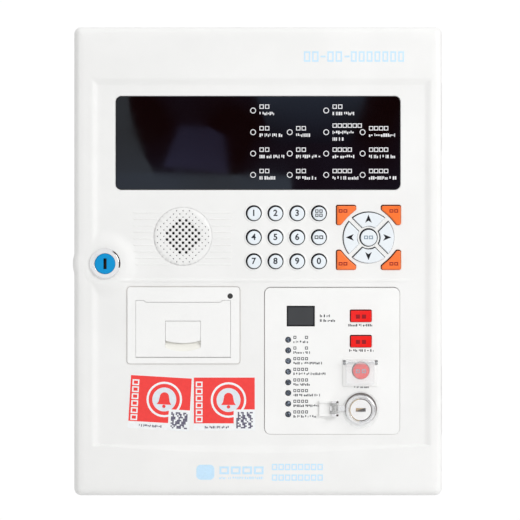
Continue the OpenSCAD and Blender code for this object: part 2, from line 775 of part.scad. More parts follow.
// Clear flip-up lid over the release button, hinged along its top edge
module release_guard() color("azure", 0.5) {
    t = 1.3;
    front = guard_axis + 1.9;
    back = face + 1.4;
    slab(front - t, front) translate([guard_x[0], guard_bottom])
        square([guard_x[1] - guard_x[0], guard_axis_z - guard_bottom]);
    for (x = [[guard_x[0], guard_x[0] + t], [guard_x[1] - t, guard_x[1]]])
        block(x, [back, front], [guard_bottom, guard_axis_z]);
    block(guard_x, [back + 1.6, front], [guard_bottom, guard_bottom + t]);
    rod_x(guard_x[0], guard_x[1], 1.9, guard_axis, guard_axis_z);
    rod_x(guard_x[0] - 2.7, guard_x[1] + 2.7, 1, guard_axis, guard_axis_z);
}

module keyswitch_rotor() color("white") difference() {
    turned(switch_at, [[0, 96.5], [6, 96.5], [6, face - 1.2], [11, face - 1.2], [11, face + 3],
                       [10.4, face + 3.4], [0, face + 3.4]]);
    slab(face - 5, face + 4) translate(switch_at) square([9.7, 3.5], center = true);
}

// Clear round cap over the key switch, swung on a pin at its left
module keyswitch_cover() color("azure", 0.5) {
    t = 1.3;
    back = face + 1;
    front = face + 9.5;
    turned(switch_at, [[cover_r - t, back], [cover_r, back], [cover_r, front - 1.2], [cover_r - 1.2, front],
                       [0, front], [0, front - t], [cover_r - t, front - t]]);
    block([cover_axis_x + 2, switch_at[0] - cover_r + 0.6], [cover_axis - 1.6, cover_axis + 1.6],
          [-151, -144]);
    rod_z(cover_z[0], cover_z[1], 4, cover_axis_x, cover_axis);
    rod_z(cover_z[0] - 2.5, cover_z[1] + 2.5, pin_r, cover_axis_x, cover_axis);
}

// ---- keys ----

module round_key(at) color("aliceblue") push(inner, face + cap_proud, at, key_stem_r) {
    translate(at) circle(key_r);
    translate(at) circle(key_hole_r + 1);
}

module direction_key(i) color("whitesmoke") push(inner, face + cap_proud, ring_at(18.5, i), key_stem_r) {
    translate(pad_at) rotate(90 * i) arc_key(0);
    translate(pad_at) rotate(90 * i) arc_key(flange_grow);
}

module corner_button(i) color("darkorange") push(inner, face + cap_proud, corner_at(i), key_stem_r) {
    translate(pad_at) rotate(90 * i) corner_key(0);
    translate(pad_at) rotate(90 * i) corner_key(flange_grow);
}

module key_centre() color("whitesmoke") push(inner, face + cap_proud, pad_at, key_stem_r) {
    translate(pad_at) circle(centre_key_r);
    translate(pad_at) circle(centre_hole_r + 0.8);
}

// ---- assembly ----

back_box();
gland_plate();
cable_grommets();
hinge_leaves_box();
box_fasteners();
main_board();
terminal_blocks();
power_supply();
batteries();
battery_bracket();
door_shell();
door_frame();
door_gasket();
hinge_leaves_door();
display_window();
lcd_module();
front_board();
indicator_leds();
speaker_grille();
speaker();
subpanel_plate();
countdown_display();
keyswitch_body();
guard_base();
printer_housing();
lock_body();
paper_roll();
printer_flap();
platen_roller();
printer_latch();
feed_button();
start_button();
stop_button();
release_button();
release_guard();
keyswitch_rotor();
keyswitch_cover();
lock_plug();
lock_cam();
for (row = [0:2], col = [0:3])
    round_key(key_at(row, col));
for (i = [0:3]) {
    direction_key(i);
    corner_button(i);
}
key_centre();
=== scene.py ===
"""Looks for a wall-mounted fire alarm control panel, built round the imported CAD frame.

Shapes are written in millimetres as (x, z) outlines in the front view, with depths from the wall,
and a depth d lies at y = -d. at() turns them into metres in the frame's own axes.
"""

import json
import random
from math import acos, atan2, copysign, cos, dist, hypot, pi, radians, sin, sqrt, tan

import bmesh
import bpy
from mathutils import Matrix, Vector


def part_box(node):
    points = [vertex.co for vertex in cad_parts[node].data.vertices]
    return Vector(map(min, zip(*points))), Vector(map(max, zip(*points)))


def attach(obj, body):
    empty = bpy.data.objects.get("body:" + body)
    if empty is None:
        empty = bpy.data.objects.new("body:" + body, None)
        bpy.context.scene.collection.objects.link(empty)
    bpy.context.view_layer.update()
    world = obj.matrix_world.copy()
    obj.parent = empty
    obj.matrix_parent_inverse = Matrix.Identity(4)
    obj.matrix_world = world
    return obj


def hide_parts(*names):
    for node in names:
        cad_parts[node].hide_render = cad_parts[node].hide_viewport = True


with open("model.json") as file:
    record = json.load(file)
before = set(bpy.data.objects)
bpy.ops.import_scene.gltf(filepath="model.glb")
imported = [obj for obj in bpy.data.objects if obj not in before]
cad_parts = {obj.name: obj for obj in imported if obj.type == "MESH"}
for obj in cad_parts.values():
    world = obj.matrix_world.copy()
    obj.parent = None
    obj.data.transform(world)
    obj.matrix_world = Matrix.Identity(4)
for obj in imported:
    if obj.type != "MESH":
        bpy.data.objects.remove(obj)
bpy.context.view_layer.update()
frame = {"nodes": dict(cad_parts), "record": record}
NODES = frame["nodes"]
rng = random.Random(11)
SLOT_OF = {part["node"]: part["material_slot"] for part in frame["record"]["subparts"]}
MM = 0.001
PRINT_T, PRINT_SINK = 0.04, 0.02

# depths from the wall, read from the frame
RIM = -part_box("door_frame")[1].y / MM
FACE = -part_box("display_window")[0].y / MM
BAND = FACE + 2.0
INNER = FACE - 3.0
PLATE_T = 2.0
BOARD_FRONT = 102.6
PIN_END = 99.8
PAST_FRONT = BAND + 6

# the door
DOOR_W, DOOR_H, DOOR_R = 369.0, 470.0, 7.0
WALL = 3.0
EDGE_R = 8.0
LIP_H = 0.6
SIDE_FOOT = 104.0
RECESS_TOP, RECESS_FOOT = 175.0, -184.0
RECESS_LEFT, RECESS_RIGHT = -159.0, 166.0
BOSS_R, BOSS_H = 34.0, 2.5
RIDGE_Z, RIDGE_H = -19.3, 0.55

# keys
KEY_R, KEY_HOLE_R = 6.9, 8.05
CAP_PROUD, BUTTON_PROUD, RELEASE_PROUD = 1.6, 1.2, 2.8
ARC_STEM, CORNER_STEM = 18.5, 26.2
ARC_R = (11.5, 25.5)
ARC_GAP = 2.5
CENTRE_R, CENTRE_HOLE_R = 8.25, 9.25
CORNER_LOW, CORNER_HIGH = 12.7, 32.2
CORNER_WIDTH, CORNER_BOW = 4.2, 0.7
HOLE_GROW = 0.45
CAP_SHRINK = 0.2
# push pieces hang a little low and to the right in their holes
SAG = (0.36, -0.4)


# ---- small helpers ----


def at(x, depth, z):
    """A point in the frame's axes, in metres."""
    return Vector((x * MM, -depth * MM, z * MM))


def centre_of(node):
    """Middle of a CAD node in the front view."""
    low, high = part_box(node)
    return ((low.x + high.x) / 2 / MM, (low.z + high.z) / 2 / MM)


def size_of(node):
    """Width and height of a CAD node."""
    low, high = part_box(node)
    return ((high.x - low.x) / MM, (high.z - low.z) / MM)


def front_of(node):
    """Greatest depth of a CAD node."""
    return -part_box(node)[0].y / MM


def smooth(t):
    """0 to 1 with level ends."""
    t = min(max(t, 0.0), 1.0)
    return t * t * (3 - 2 * t)


def circle(centre, r, count=64):
    """Points round a circle."""
    turns = [2 * pi * i / count for i in range(count)]
    return [(centre[0] + r * cos(t), centre[1] + r * sin(t)) for t in turns]


def rect(x0, x1, z0, z1):
    """Corners of a rectangle."""
    return [(x0, z0), (x1, z0), (x1, z1), (x0, z1)]


def round_corner(before, here, after, radius, steps=4):
    """Points of one round corner."""
    here = Vector(here)
    back = (Vector(before) - here).normalized()
    ahead = (Vector(after) - here).normalized()
    half = back.angle(ahead) / 2
    reach = radius / tan(half)
    start, end = here + back * reach, here + ahead * reach
    middle = here + (back + ahead).normalized() * (radius / sin(half))
    spokes = [(start - middle).lerp(end - middle, k / steps).normalized() for k in range(steps + 1)]
    return [tuple(middle + spoke * radius) for spoke in spokes]


def rounded(corners, radius, steps=6):
    """An anticlockwise polygon with round corners."""
    made = []
    count = len(corners)
    for i in range(count):
        made += round_corner(corners[i - 1], corners[i], corners[(i + 1) % count], radius, steps)
    return made


def round_rect(centre, w, h, r, steps=6):
    """Rectangle with round corners."""
    x, z = centre
    return rounded(rect(x - w / 2, x + w / 2, z - h / 2, z + h / 2), r, steps)


def inset(outline, distance):
    """An anticlockwise outline moved inwards by a distance."""
    made = []
    count = len(outline)
    for i in range(count):
        before, here, after = (Vector(outline[j % count]) for j in (i - 1, i, i + 1))
        a = (here - before).normalized()
        b = (after - here).normalized()
        normal = Vector((-a.y - b.y, a.x + b.x))
        if normal.length < 1e-9:
            normal = Vector((-a.y, a.x))
        normal.normalize()
        scale = 1 / max(normal.dot(Vector((-a.y, a.x))), 0.4)
        made.append(tuple(here + normal * distance * scale))
    return made


def turned(outline, centre, degrees):
    """An outline turned and moved to a centre."""
    c, s = cos(radians(degrees)), sin(radians(degrees))
    return [(centre[0] + x * c - z * s, centre[1] + x * s + z * c) for x, z in outline]


def hoop(centre, r_out, r_in, count=32):
    """Both outlines of a round ring."""
    return circle(centre, r_out, count), circle(centre, r_in, count)


def arc_outline(grow, turn, centre):
    """The direction key that points right, turned about the pad's centre."""
    steps = 16
    made = []
    for radius, sign in ((ARC_R[1] + grow, 1), (ARC_R[0] - grow, -1)):
        limit = acos((ARC_GAP - grow) / radius) - pi / 4
        for i in range(steps + 1):
            t = sign * limit * (2 * i / steps - 1)
            made.append((radius * cos(t), radius * sin(t)))
    return turned(made, centre, turn)


def corner_outline(grow, turn, centre):
    """The corner key at the top right, turned about the pad's centre."""
    low, high = CORNER_LOW, CORNER_HIGH
    tip = high - CORNER_WIDTH
    middle = (low + tip) / 2 + CORNER_BOW
    corners = [(tip, low, 1.7), (high, low, 1.7), (high, high, 1.4), (low, high, 1.7), (low, tip, 1.7),
               (middle, middle, 55.0)]
    made = []
    for i in range(6):
        before, after = corners[i - 1][:2], corners[(i + 1) % 6][:2]
        made += round_corner(before, corners[i][:2], after, corners[i][2])
    return turned(inset(made, -grow), centre, turn)


# ---- mesh making ----


def join_rows(bm, rows, loop=False):
    """Adds a solid through rows of vertices, capped at both ends or joined in a loop."""
    pairs = list(zip(rows, rows[1:]))
    if loop:
        pairs.append((rows[-1], rows[0]))
    faces = []
    for a, b in pairs:
        for i in range(len(a)):
            faces.append(bm.faces.new((a[i - 1], a[i], b[i], b[i - 1])))
    if not loop:
        faces.append(bm.faces.new(rows[0]))
        faces.append(bm.faces.new(rows[-1][::-1]))
    bmesh.ops.recalc_face_normals(bm, faces=faces)


def add_loft(bm, rings, loop=False):
    """Adds a closed solid through (outline, depth) rings."""
    join_rows(bm, [[bm.verts.new(at(x, depth, z)) for x, z in outline] for outline, depth in rings], loop)


def add_prism(bm, outline, low, high):
    """Adds a straight-sided solid."""
    add_loft(bm, [(outline, low), (outline, high)])


def add_ring(bm, outer, inner, low, high):
    """Adds a straight-sided ring between two outlines."""
    add_loft(bm, [(outer, low), (outer, high), (inner, high), (inner, low)], loop=True)


def link(name, data):
    """A linked object with this data."""
    made = bpy.data.objects.new(name, data)
    bpy.context.scene.collection.objects.link(made)
    return made


def new_object(name, bm):
    """Turns a bmesh into a linked object."""
    mesh = bpy.data.meshes.new(name)
    bm.to_mesh(mesh)
    bm.free()
    return link(name, mesh)


def loft(name, rings):
    """One closed solid as an object."""
    bm = bmesh.new()
    add_loft(bm, rings)
    return new_object(name, bm)


def soft_front(outline, back, front, radius, steps=4):
    """Rings up to a rounded front edge."""
    rings = [(outline, back)]
    for i in range(steps + 1):
        turn = pi / 2 * i / steps
        rings.append((inset(outline, radius * (1 - cos(turn))), front - radius * (1 - sin(turn))))
    return rings


def shade(piece, sharp_degrees=35):
    """Smooth shading below an angle."""
    piece.data.shade_smooth()
    piece.data.set_sharp_from_angle(angle=radians(sharp_degrees))


def weigh_normals(piece):
    """Keeps flat faces flat beside soft edges."""
    weigh = piece.modifiers.new("weighted_normals", "WEIGHTED_NORMAL")
    weigh.keep_sharp = True
    weigh.weight = 90


def own(piece, body, slot, material=None, *replaced):
    """Gives a piece its material, from its slot unless one is given, puts it on its body and hides the CAD
    nodes that it stands for.
    """
    piece.data.materials.clear()
    piece.data.materials.append(material or MATS[slot])
    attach(piece, body)
    if replaced:
        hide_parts(*replaced)
    return piece


def finish(name, bm, sharp_degrees, *owned):
    """Turns a bmesh into a finished piece."""
    made = new_object(name, bm)
    shade(made, sharp_degrees)
    return own(made, *owned)


def decal(name, outlines, depth, material, body, slot, thick=PRINT_T):
    """Thin printed shapes as one piece."""
    bm = bmesh.new()
    for outline in outlines:
        add_prism(bm, outline, depth - PRINT_SINK, depth + thick)
    return own(new_object(name, bm), body, slot, material)


def ring_decal(name, pairs, depth, material, body, slot, thick=PRINT_T):
    """Thin printed rings as one piece."""
    bm = bmesh.new()
    for outer, inner in pairs:
        add_ring(bm, outer, inner, depth - PRINT_SINK, depth + thick)
    return own(new_object(name, bm), body, slot, material)


def dashes(x0, z, width, height, unit):
    """Short bars in place of a line of small print."""
    made = []
    x = x0
    end = x0 + width
    while x < end - unit * 0.3:
        step = min(unit * rng.uniform(0.45, 1.1), end - x)
        low = z - height / 2 + rng.choice((0, 0, 0.3)) * height
        high = z + height / 2 - rng.choice((0, 0, 0.3)) * height
        made.append(rect(x, x + step, low, high))
        x += step + unit * rng.choice((0.4, 0.4, 0.5, 1.3))
    return made


def blocks(x0, z, count, size, pitch, line=0.0):
    """Plain blocks in place of large print, hollow if they have a line width."""
    made = []
    low, high = z - size[1] / 2, z + size[1] / 2
    for i in range(count):
        left = x0 + i * pitch
        right = left + size[0]
        if line:
            made += [rect(left, right, low, low + line), rect(left, right, high - line, high),
                     rect(left, left + line, low + line, high - line),
                     rect(right - line, right, low + line, high - line)]
        else:
            made.append(rect(left, right, low, high))
    return made


# ---- materials ----


def surface(name, colour, rough, metal=0.0, specular=0.5):
    """A Principled material with uniform values."""
    made = bpy.data.materials.new(name)
    made.use_nodes = True
    shader = made.node_tree.nodes["Principled BSDF"]
    values = {"Base Color": (*colour, 1), "Roughness": rough, "Metallic": metal,
              "Specular IOR Level": specular}
    for key, value in values.items():
        shader.inputs[key].default_value = value
    return made


def node(holder, kind, **values):
    """Adds a node to a material or the world."""
    made = holder.node_tree.nodes.new("ShaderNode" + kind)
    for key, value in values.items():
        made.inputs[key.replace("_", " ")].default_value = value
    return made


def noise(material, scale, detail=3.0, stretch=(1, 1, 1)):
    """Noise over the object's own coordinates, as an output."""
    tree = material.node_tree
    place = node(material, "TexCoord")
    mapping = node(material, "Mapping", Scale=stretch)
    made = node(material, "TexNoise", Scale=scale, Detail=detail)
    tree.links.new(place.outputs["Object"], mapping.inputs["Vector"])
    tree.links.new(mapping.outputs["Vector"], made.inputs["Vector"])
    return made.outputs["Fac"]


def grain(material, scale, height_mm, stretch=(1, 1, 1)):
    """Fine relief from noise."""
    tree = material.node_tree
    bump = node(material, "Bump", Strength=1.0, Distance=height_mm * MM)
    tree.links.new(noise(material, scale, 2.0, stretch), bump.inputs["Height"])
    tree.links.new(bump.outputs["Normal"], tree.nodes["Principled BSDF"].inputs["Normal"])
    return material


def ramp(holder, source, low, high, start, end):
    """A ramp between two colours, as an output."""
    made = node(holder, "ValToRGB")
    for k, (position, colour) in enumerate(((start, low), (end, high))):
        made.color_ramp.elements[k].position = position
        made.color_ramp.elements[k].color = (*colour, 1)
    holder.node_tree.links.new(source, made.inputs["Fac"])
    return made.outputs["Color"]


def spread(material, source, socket, low, high, start=0.35, end=0.65):
    """Maps an output onto a socket of the shader."""
    tree = material.node_tree
    target = tree.nodes["Principled BSDF"].inputs[socket]
    if isinstance(low, tuple):
        tree.links.new(ramp(material, source, low, high, start, end), target)
    else:
        scale = node(material, "MapRange", From_Min=start, From_Max=end, To_Min=low, To_Max=high)
        tree.links.new(source, scale.inputs["Value"])
        tree.links.new(scale.outputs["Result"], target)
    return material


def plastic(name, colour, rough, texture_scale=2600.0, texture_mm=0.012, vary=0.012, specular=0.5):
    """Moulded plastic with a spark texture."""
    made = surface(name, colour, rough, specular=specular)
    dark = tuple(max(c - vary, 0) for c in colour)
    light = tuple(min(c + vary, 1) for c in colour)
    spread(made, noise(made, 22.0, 4.0), "Base Color", dark, light)
    spread(made, noise(made, 60.0), "Roughness", rough - 0.05, rough + 0.07)
    return grain(made, texture_scale, texture_mm)


def painted(name, colour, rough):
    """Powder coat with orange peel."""
    made = surface(name, colour, rough)
    spread(made, noise(made, 14.0, 4.0), "Base Color", tuple(c * 0.97 for c in colour), colour)
    spread(made, noise(made, 90.0), "Roughness", rough - 0.06, rough + 0.1)
    return grain(made, 900.0, 0.05)


def plated(name, colour, rough, stretch=(1, 1, 1)):
    """Plated metal with cloudy reflections."""
    made = surface(name, colour, rough, metal=1.0)
    spread(made, noise(made, 70.0, 5.0, stretch), "Roughness", rough - 0.08, rough + 0.12)
    spread(made, noise(made, 18.0, 4.0), "Base Color", tuple(c * 0.9 for c in colour), colour)
    return grain(made, 1500.0, 0.006, stretch)


def rubber(name, colour, rough, pore_scale, pore_mm):
    """Rubber or foam with pores."""
    made = surface(name, colour, rough, specular=0.3)
    dark, light = (tuple(c * k for c in colour) for k in (0.75, 1.3))
    spread(made, noise(made, 40.0, 4.0), "Base Color", dark, light)
    return grain(made, pore_scale, pore_mm)


def clear(name, colour, alpha):
    """Thin clear plastic."""
    made = surface(name, colour, 0.06)
    made.node_tree.nodes["Principled BSDF"].inputs["Alpha"].default_value = alpha
    spread(made, noise(made, 35.0), "Roughness", 0.04, 0.12)
    return grain(made, 300.0, 0.004)


def ink(name, colour, rough=0.45):
    """Matt ink that covers a little unevenly."""
    made = surface(name, colour, rough, specular=0.25)
    spread(made, noise(made, 400.0), "Base Color", tuple(c * 0.95 for c in colour), colour)
    return grain(made, 3000.0, 0.004)


def circuit_board(name, mask, track):
    """Solder mask over lighter tracks."""
    made = surface(name, mask, 0.32)
    tree = made.node_tree
    place = node(made, "TexCoord")
    wave = node(made, "TexWave", Scale=220.0, Distortion=9.0, Detail=1.0, Detail_Scale=0.6)
    wave.bands_direction = "DIAGONAL"
    tree.links.new(place.outputs["Object"], wave.inputs["Vector"])
    spread(made, wave.outputs["Fac"], "Base Color", mask, track, 0.72, 0.8)
    return grain(made, 1200.0, 0.01)


def window_plastic(name):
    """Glossy black window with slightly lighter clouds."""
    mask, glass = (0.0035, 0.001, 0.0012), (0.006, 0.005, 0.009)
    made = surface(name, mask, 0.07, specular=0.4)
    spread(made, noise(made, 9.0, 1.0), "Base Color", mask, glass, 0.42, 0.66)
    spread(made, noise(made, 30.0), "Roughness", 0.02, 0.045)
    return grain(made, 45.0, 0.003)


WHITE_BODY = (0.855, 0.855, 0.845)
SLOTS = {
    "box_paint": (painted, (0.79, 0.79, 0.78), 0.42),
    "plated_steel": (plated, (0.70, 0.70, 0.69), 0.34),
    "chrome": (plated, (0.86, 0.86, 0.87), 0.10),
    "black_rubber": (rubber, (0.03, 0.03, 0.032), 0.7, 900.0, 0.02),
    "seal_foam": (rubber, (0.05, 0.05, 0.052), 0.9, 1500.0, 0.12),
    "board_green": (circuit_board, (0.012, 0.11, 0.045), (0.03, 0.19, 0.09)),
    "terminal_green": (plastic, (0.05, 0.30, 0.11), 0.42, 2600.0, 0.012, 0.01),
    "supply_cage": (plated, (0.72, 0.73, 0.74), 0.4, (1, 1, 8)),
    "battery_case": (plastic, (0.05, 0.052, 0.06), 0.5, 1400.0, 0.03, 0.008),
    "door_plastic": (plastic, WHITE_BODY, 0.46),
    "trim_plastic": (plastic, (0.89, 0.89, 0.88), 0.42),
    "window_black": (window_plastic,),
    "lcd_frame": (painted, (0.08, 0.085, 0.09), 0.4),
    "lamp_clear": (plastic, (0.82, 0.83, 0.84), 0.15, 400.0, 0.002),
    "speaker_black": (plastic, (0.03, 0.03, 0.032), 0.6, 1800.0, 0.03, 0.006),
    "counter_grey": (plastic, (0.032, 0.034, 0.038), 0.2, 500.0, 0.004, 0.004),
    "key_white": (plastic, (0.80, 0.855, 0.90), 0.40),
    "key_grey": (plastic, (0.80, 0.845, 0.885), 0.40),
    "key_orange": (plastic, (0.95, 0.185, 0.035), 0.42, 2600.0, 0.012, 0.012, 0.3),
    "button_red": (plastic, (0.86, 0.014, 0.012), 0.32, 2600.0, 0.012, 0.012, 0.25),
    "clear_cover": (clear, (0.93, 0.95, 0.97), 0.135),
    "disc_white": (plastic, (0.88, 0.87, 0.86), 0.3),
    "lock_blue": (plastic, (0.0, 0.29, 0.64), 0.3, 2600.0, 0.012, 0.004, 0.15),
    "paper": (plastic, (0.90, 0.90, 0.88), 0.6, 5000.0, 0.01),
    "roller_rubber": (rubber, (0.035, 0.035, 0.035), 0.65, 2200.0, 0.015),
    "feed_black": (plastic, (0.02, 0.02, 0.02), 0.4),
}
MATS = {slot: make(slot, *values) for slot, (make, *values) in SLOTS.items()}
# dark rubber for the key skirts, used also as painted shade on the walls of the key holes and in the grille's
# dimples
SKIRT_AND_GAP_SHADE = rubber("key_skirt_and_painted_gap_shade", (0.022, 0.02, 0.03), 0.7, 2200.0, 0.015)
# dark brown for the ring under the key switch's chrome ring, a painted shadow along its top
GASKET_PAINTED_SHADE = rubber("gasket_brown_painted_shade", (0.075, 0.05, 0.042), 0.6, 2200.0, 0.01)
# brown-grey tones for the sides of the sub-panel plate and the printer housing: painted shade in the gaps
# round them
SEAM_PAINTED_SHADE_PALE = rubber("seam_painted_shade_pale", (0.42, 0.37, 0.31), 0.8, 2200.0, 0.01)
SEAM_PAINTED_SHADE = rubber("seam_shade", (0.16, 0.125, 0.10), 0.8, 2200.0, 0.01)
SCOOP_PLASTIC = plastic("scoop_plastic", (0.865, 0.855, 0.80), 0.5)
CLEAR_CAP = clear("clear_cap", (0.93, 0.95, 0.97), 0.065)
# dark brown metal for the inside of the key slots, darkened as painted shade in the slots
SLOT_PAINTED_SHADE = plated("keyway_painted_shade", (0.10, 0.07, 0.055), 0.5)
BRASS = plated("brass", (0.72, 0.52, 0.26), 0.28)
# smoked lamp lens whose small light specks are painted glints
LAMP_GREY_PAINTED_GLINTS = surface("lamp_grey_painted_glints", (0.07, 0.085, 0.11), 0.1)
spread(LAMP_GREY_PAINTED_GLINTS, noise(LAMP_GREY_PAINTED_GLINTS, 620.0, 1.0), "Base Color", (0.02, 0.028, 0.045), (0.17, 0.21, 0.27),
       0.42, 0.6)
grain(LAMP_GREY_PAINTED_GLINTS, 400.0, 0.003)
CHIP_BLACK = plastic("component_black", (0.02, 0.02, 0.022), 0.5, 1500.0, 0.02, 0.004)
RELAY_BLUE = plastic("component_blue", (0.03, 0.10, 0.35), 0.45)
GOLD = plated("contact_gold", (0.80, 0.62, 0.28), 0.3)
PRINT_BLACK = ink("print_black", (0.004, 0.004, 0.008))
PRINT_WHITE = ink("print_white", (0.84, 0.84, 0.86))
PRINT_DARK = ink("print_dark", (0.02, 0.024, 0.034))
PRINT_BLUE = ink("print_blue", (0.58, 0.80, 0.98))
PRINT_RED = ink("print_red", (0.30, 0.005, 0.01))
PRINT_SLATE = ink("print_slate", (0.22, 0.30, 0.38))
STICKER_RED = ink("sticker_red", (0.90, 0.060, 0.055), 0.4)
STICKER_WHITE = ink("sticker_white", (0.90, 0.92, 0.93), 0.4)
STICKER_PALE = ink("sticker_pale", (0.75, 0.81, 0.86), 0.4)
STICKER_GREY = ink("sticker_grey", (0.12, 0.11, 0.17), 0.4)


# ---- CAD nodes that stay ----

NO_BEVEL = {"speaker_grille", "door_gasket", "box_fasteners", "terminal_blocks", "paper_roll"}
BEVEL_MM = {"back_box": 0.35, "release_guard": 0.35, "keyswitch_cover": 0.4, "subpanel_plate": 0.35,
            "printer_flap": 0.12, "printer_latch": 0.12, "printer_housing": 0.15, "lock_plug": 0.25}


def dress(name):
    """Gives a CAD node its material and soft edges."""
    piece = NODES[name]
    piece.data.materials.clear()
    piece.data.materials.append(MATS[SLOT_OF[name]])
    piece.data.shade_smooth()
    weld = piece.modifiers.new("weld", "WELD")
    weld.merge_threshold = 0.00001
    if name not in NO_BEVEL:
        flat = piece.modifiers.new("flat_faces", "DECIMATE")
        flat.decimate_type = "DISSOLVE"
        flat.angle_limit = radians(0.4)
        flat.delimit = {"MATERIAL"}
        bevel = piece.modifiers.new("soft_edges", "BEVEL")
        bevel.width = BEVEL_MM.get(name, 0.25) * MM
        bevel.segments = 2
        bevel.angle_limit = radians(32)
        bevel.use_clamp_overlap = False
        bevel.harden_normals = True
    weigh_normals(piece)


def paint_faces(name, material, chosen):
    """Gives some faces of a CAD node their own material."""
    piece = NODES[name]
    piece.data.materials.append(material)
    index = len(piece.data.materials) - 1
    for face in piece.data.polygons:
        x, y, z = face.center / MM
        if chosen(x, -y - FACE, z, abs(face.normal.y) < 0.5):
            face.material_index = index


for part_name in NODES:
    if NODES[part_name].data.has_custom_normals:
        bpy.context.view_layer.objects.active = NODES[part_name]
        bpy.ops.mesh.customdata_custom_splitnormals_clear()
    dress(part_name)


# ---- door shell ----

WINDOW_AT, WINDOW_SIZE = centre_of("display_window"), size_of("display_window")
SUB_AT, SUB_SIZE = centre_of("subpanel_plate"), size_of("subpanel_plate")
PRINTER_AT = (-74.6, -64.2)
PRINTER_SIZE = (112.8, 76.9)
SPEAKER_AT = centre_of("speaker_grille")
LOCK_AT = centre_of("lock_plug")
SWITCH_AT = centre_of("keyswitch_rotor")
COUNTER_AT, COUNTER_SIZE = centre_of("countdown_display"), size_of("countdown_display")
PAD_AT = centre_of("key_centre")
ROUND_KEYS = ["key_" + k for k in "1 2 3 fn_a 4 5 6 fn_b 7 8 9 0".split()]
ARC_KEYS = ["key_right", "key_up", "key_left", "key_down"]
CORNER_KEYS = ["key_corner_tr", "key_corner_tl", "key_corner_bl", "key_corner_br"]
HINGE_Z = (146.0, -141.0)
HINGE_HALF = 35.3
RIB_X = (-124.7, -26.5)
RIB_Z0, RIB_PITCH = 22.75, 6.5
BOARD_POSTS = [(-9, 168), (147, 168), (-9, 67), (147, 67), (-9, -12),
               (5.5, -100), (143.5, -100), (5.5, -168), (143.5, -168)]
FRAME_POSTS = [(i * x, j * z) for x, z in ((169.5, 75), (169.5, 212), (60, 219.5))
               for i in (-1, 1) for j in (-1, 1)]


def crescent(x):
    """Dip of the recess's foot at an x."""
    return 8.0 * max(1 - ((x - 2.0) / 163.0) ** 2, 0.0)


def front_depth(x, z):
    """Depth of the door's front: bands round a recess, a lock boss and a ridge."""
    step = BAND - FACE
    top = smooth((z - RECESS_TOP) / 9.0)
    sides = max(smooth((x - RECESS_RIGHT) / 8.0), smooth((RECESS_LEFT - x) / 8.0))
    bottom = min(max((RECESS_FOOT - z) / max(crescent(x), 1.2), 0.0), 1.0)
    depth = FACE + step * max(top, sides, bottom)
    away = hypot(x - LOCK_AT[0], z - LOCK_AT[1])
    boss = FACE + BOSS_H * smooth((BOSS_R - away) / 14.5)
    ridge = RIDGE_H * max(1 - ((z - RIDGE_Z) / 1.9) ** 2, 0.0) * smooth((150.0 - x) / 8.0)
    return max(depth, boss) + ridge * smooth((away - 20.0) / 6.0) * smooth((x + 162.0) / 6.0)


def stations(start, spans):
    """Grid lines through (end, step) spans."""
    made = [start]
    for end, step in spans:
        first = made[-1]
        count = max(round((end - first) / step), 1)
        made += [first + (end - first) * (i + 1) / count for i in range(count)]
    return made


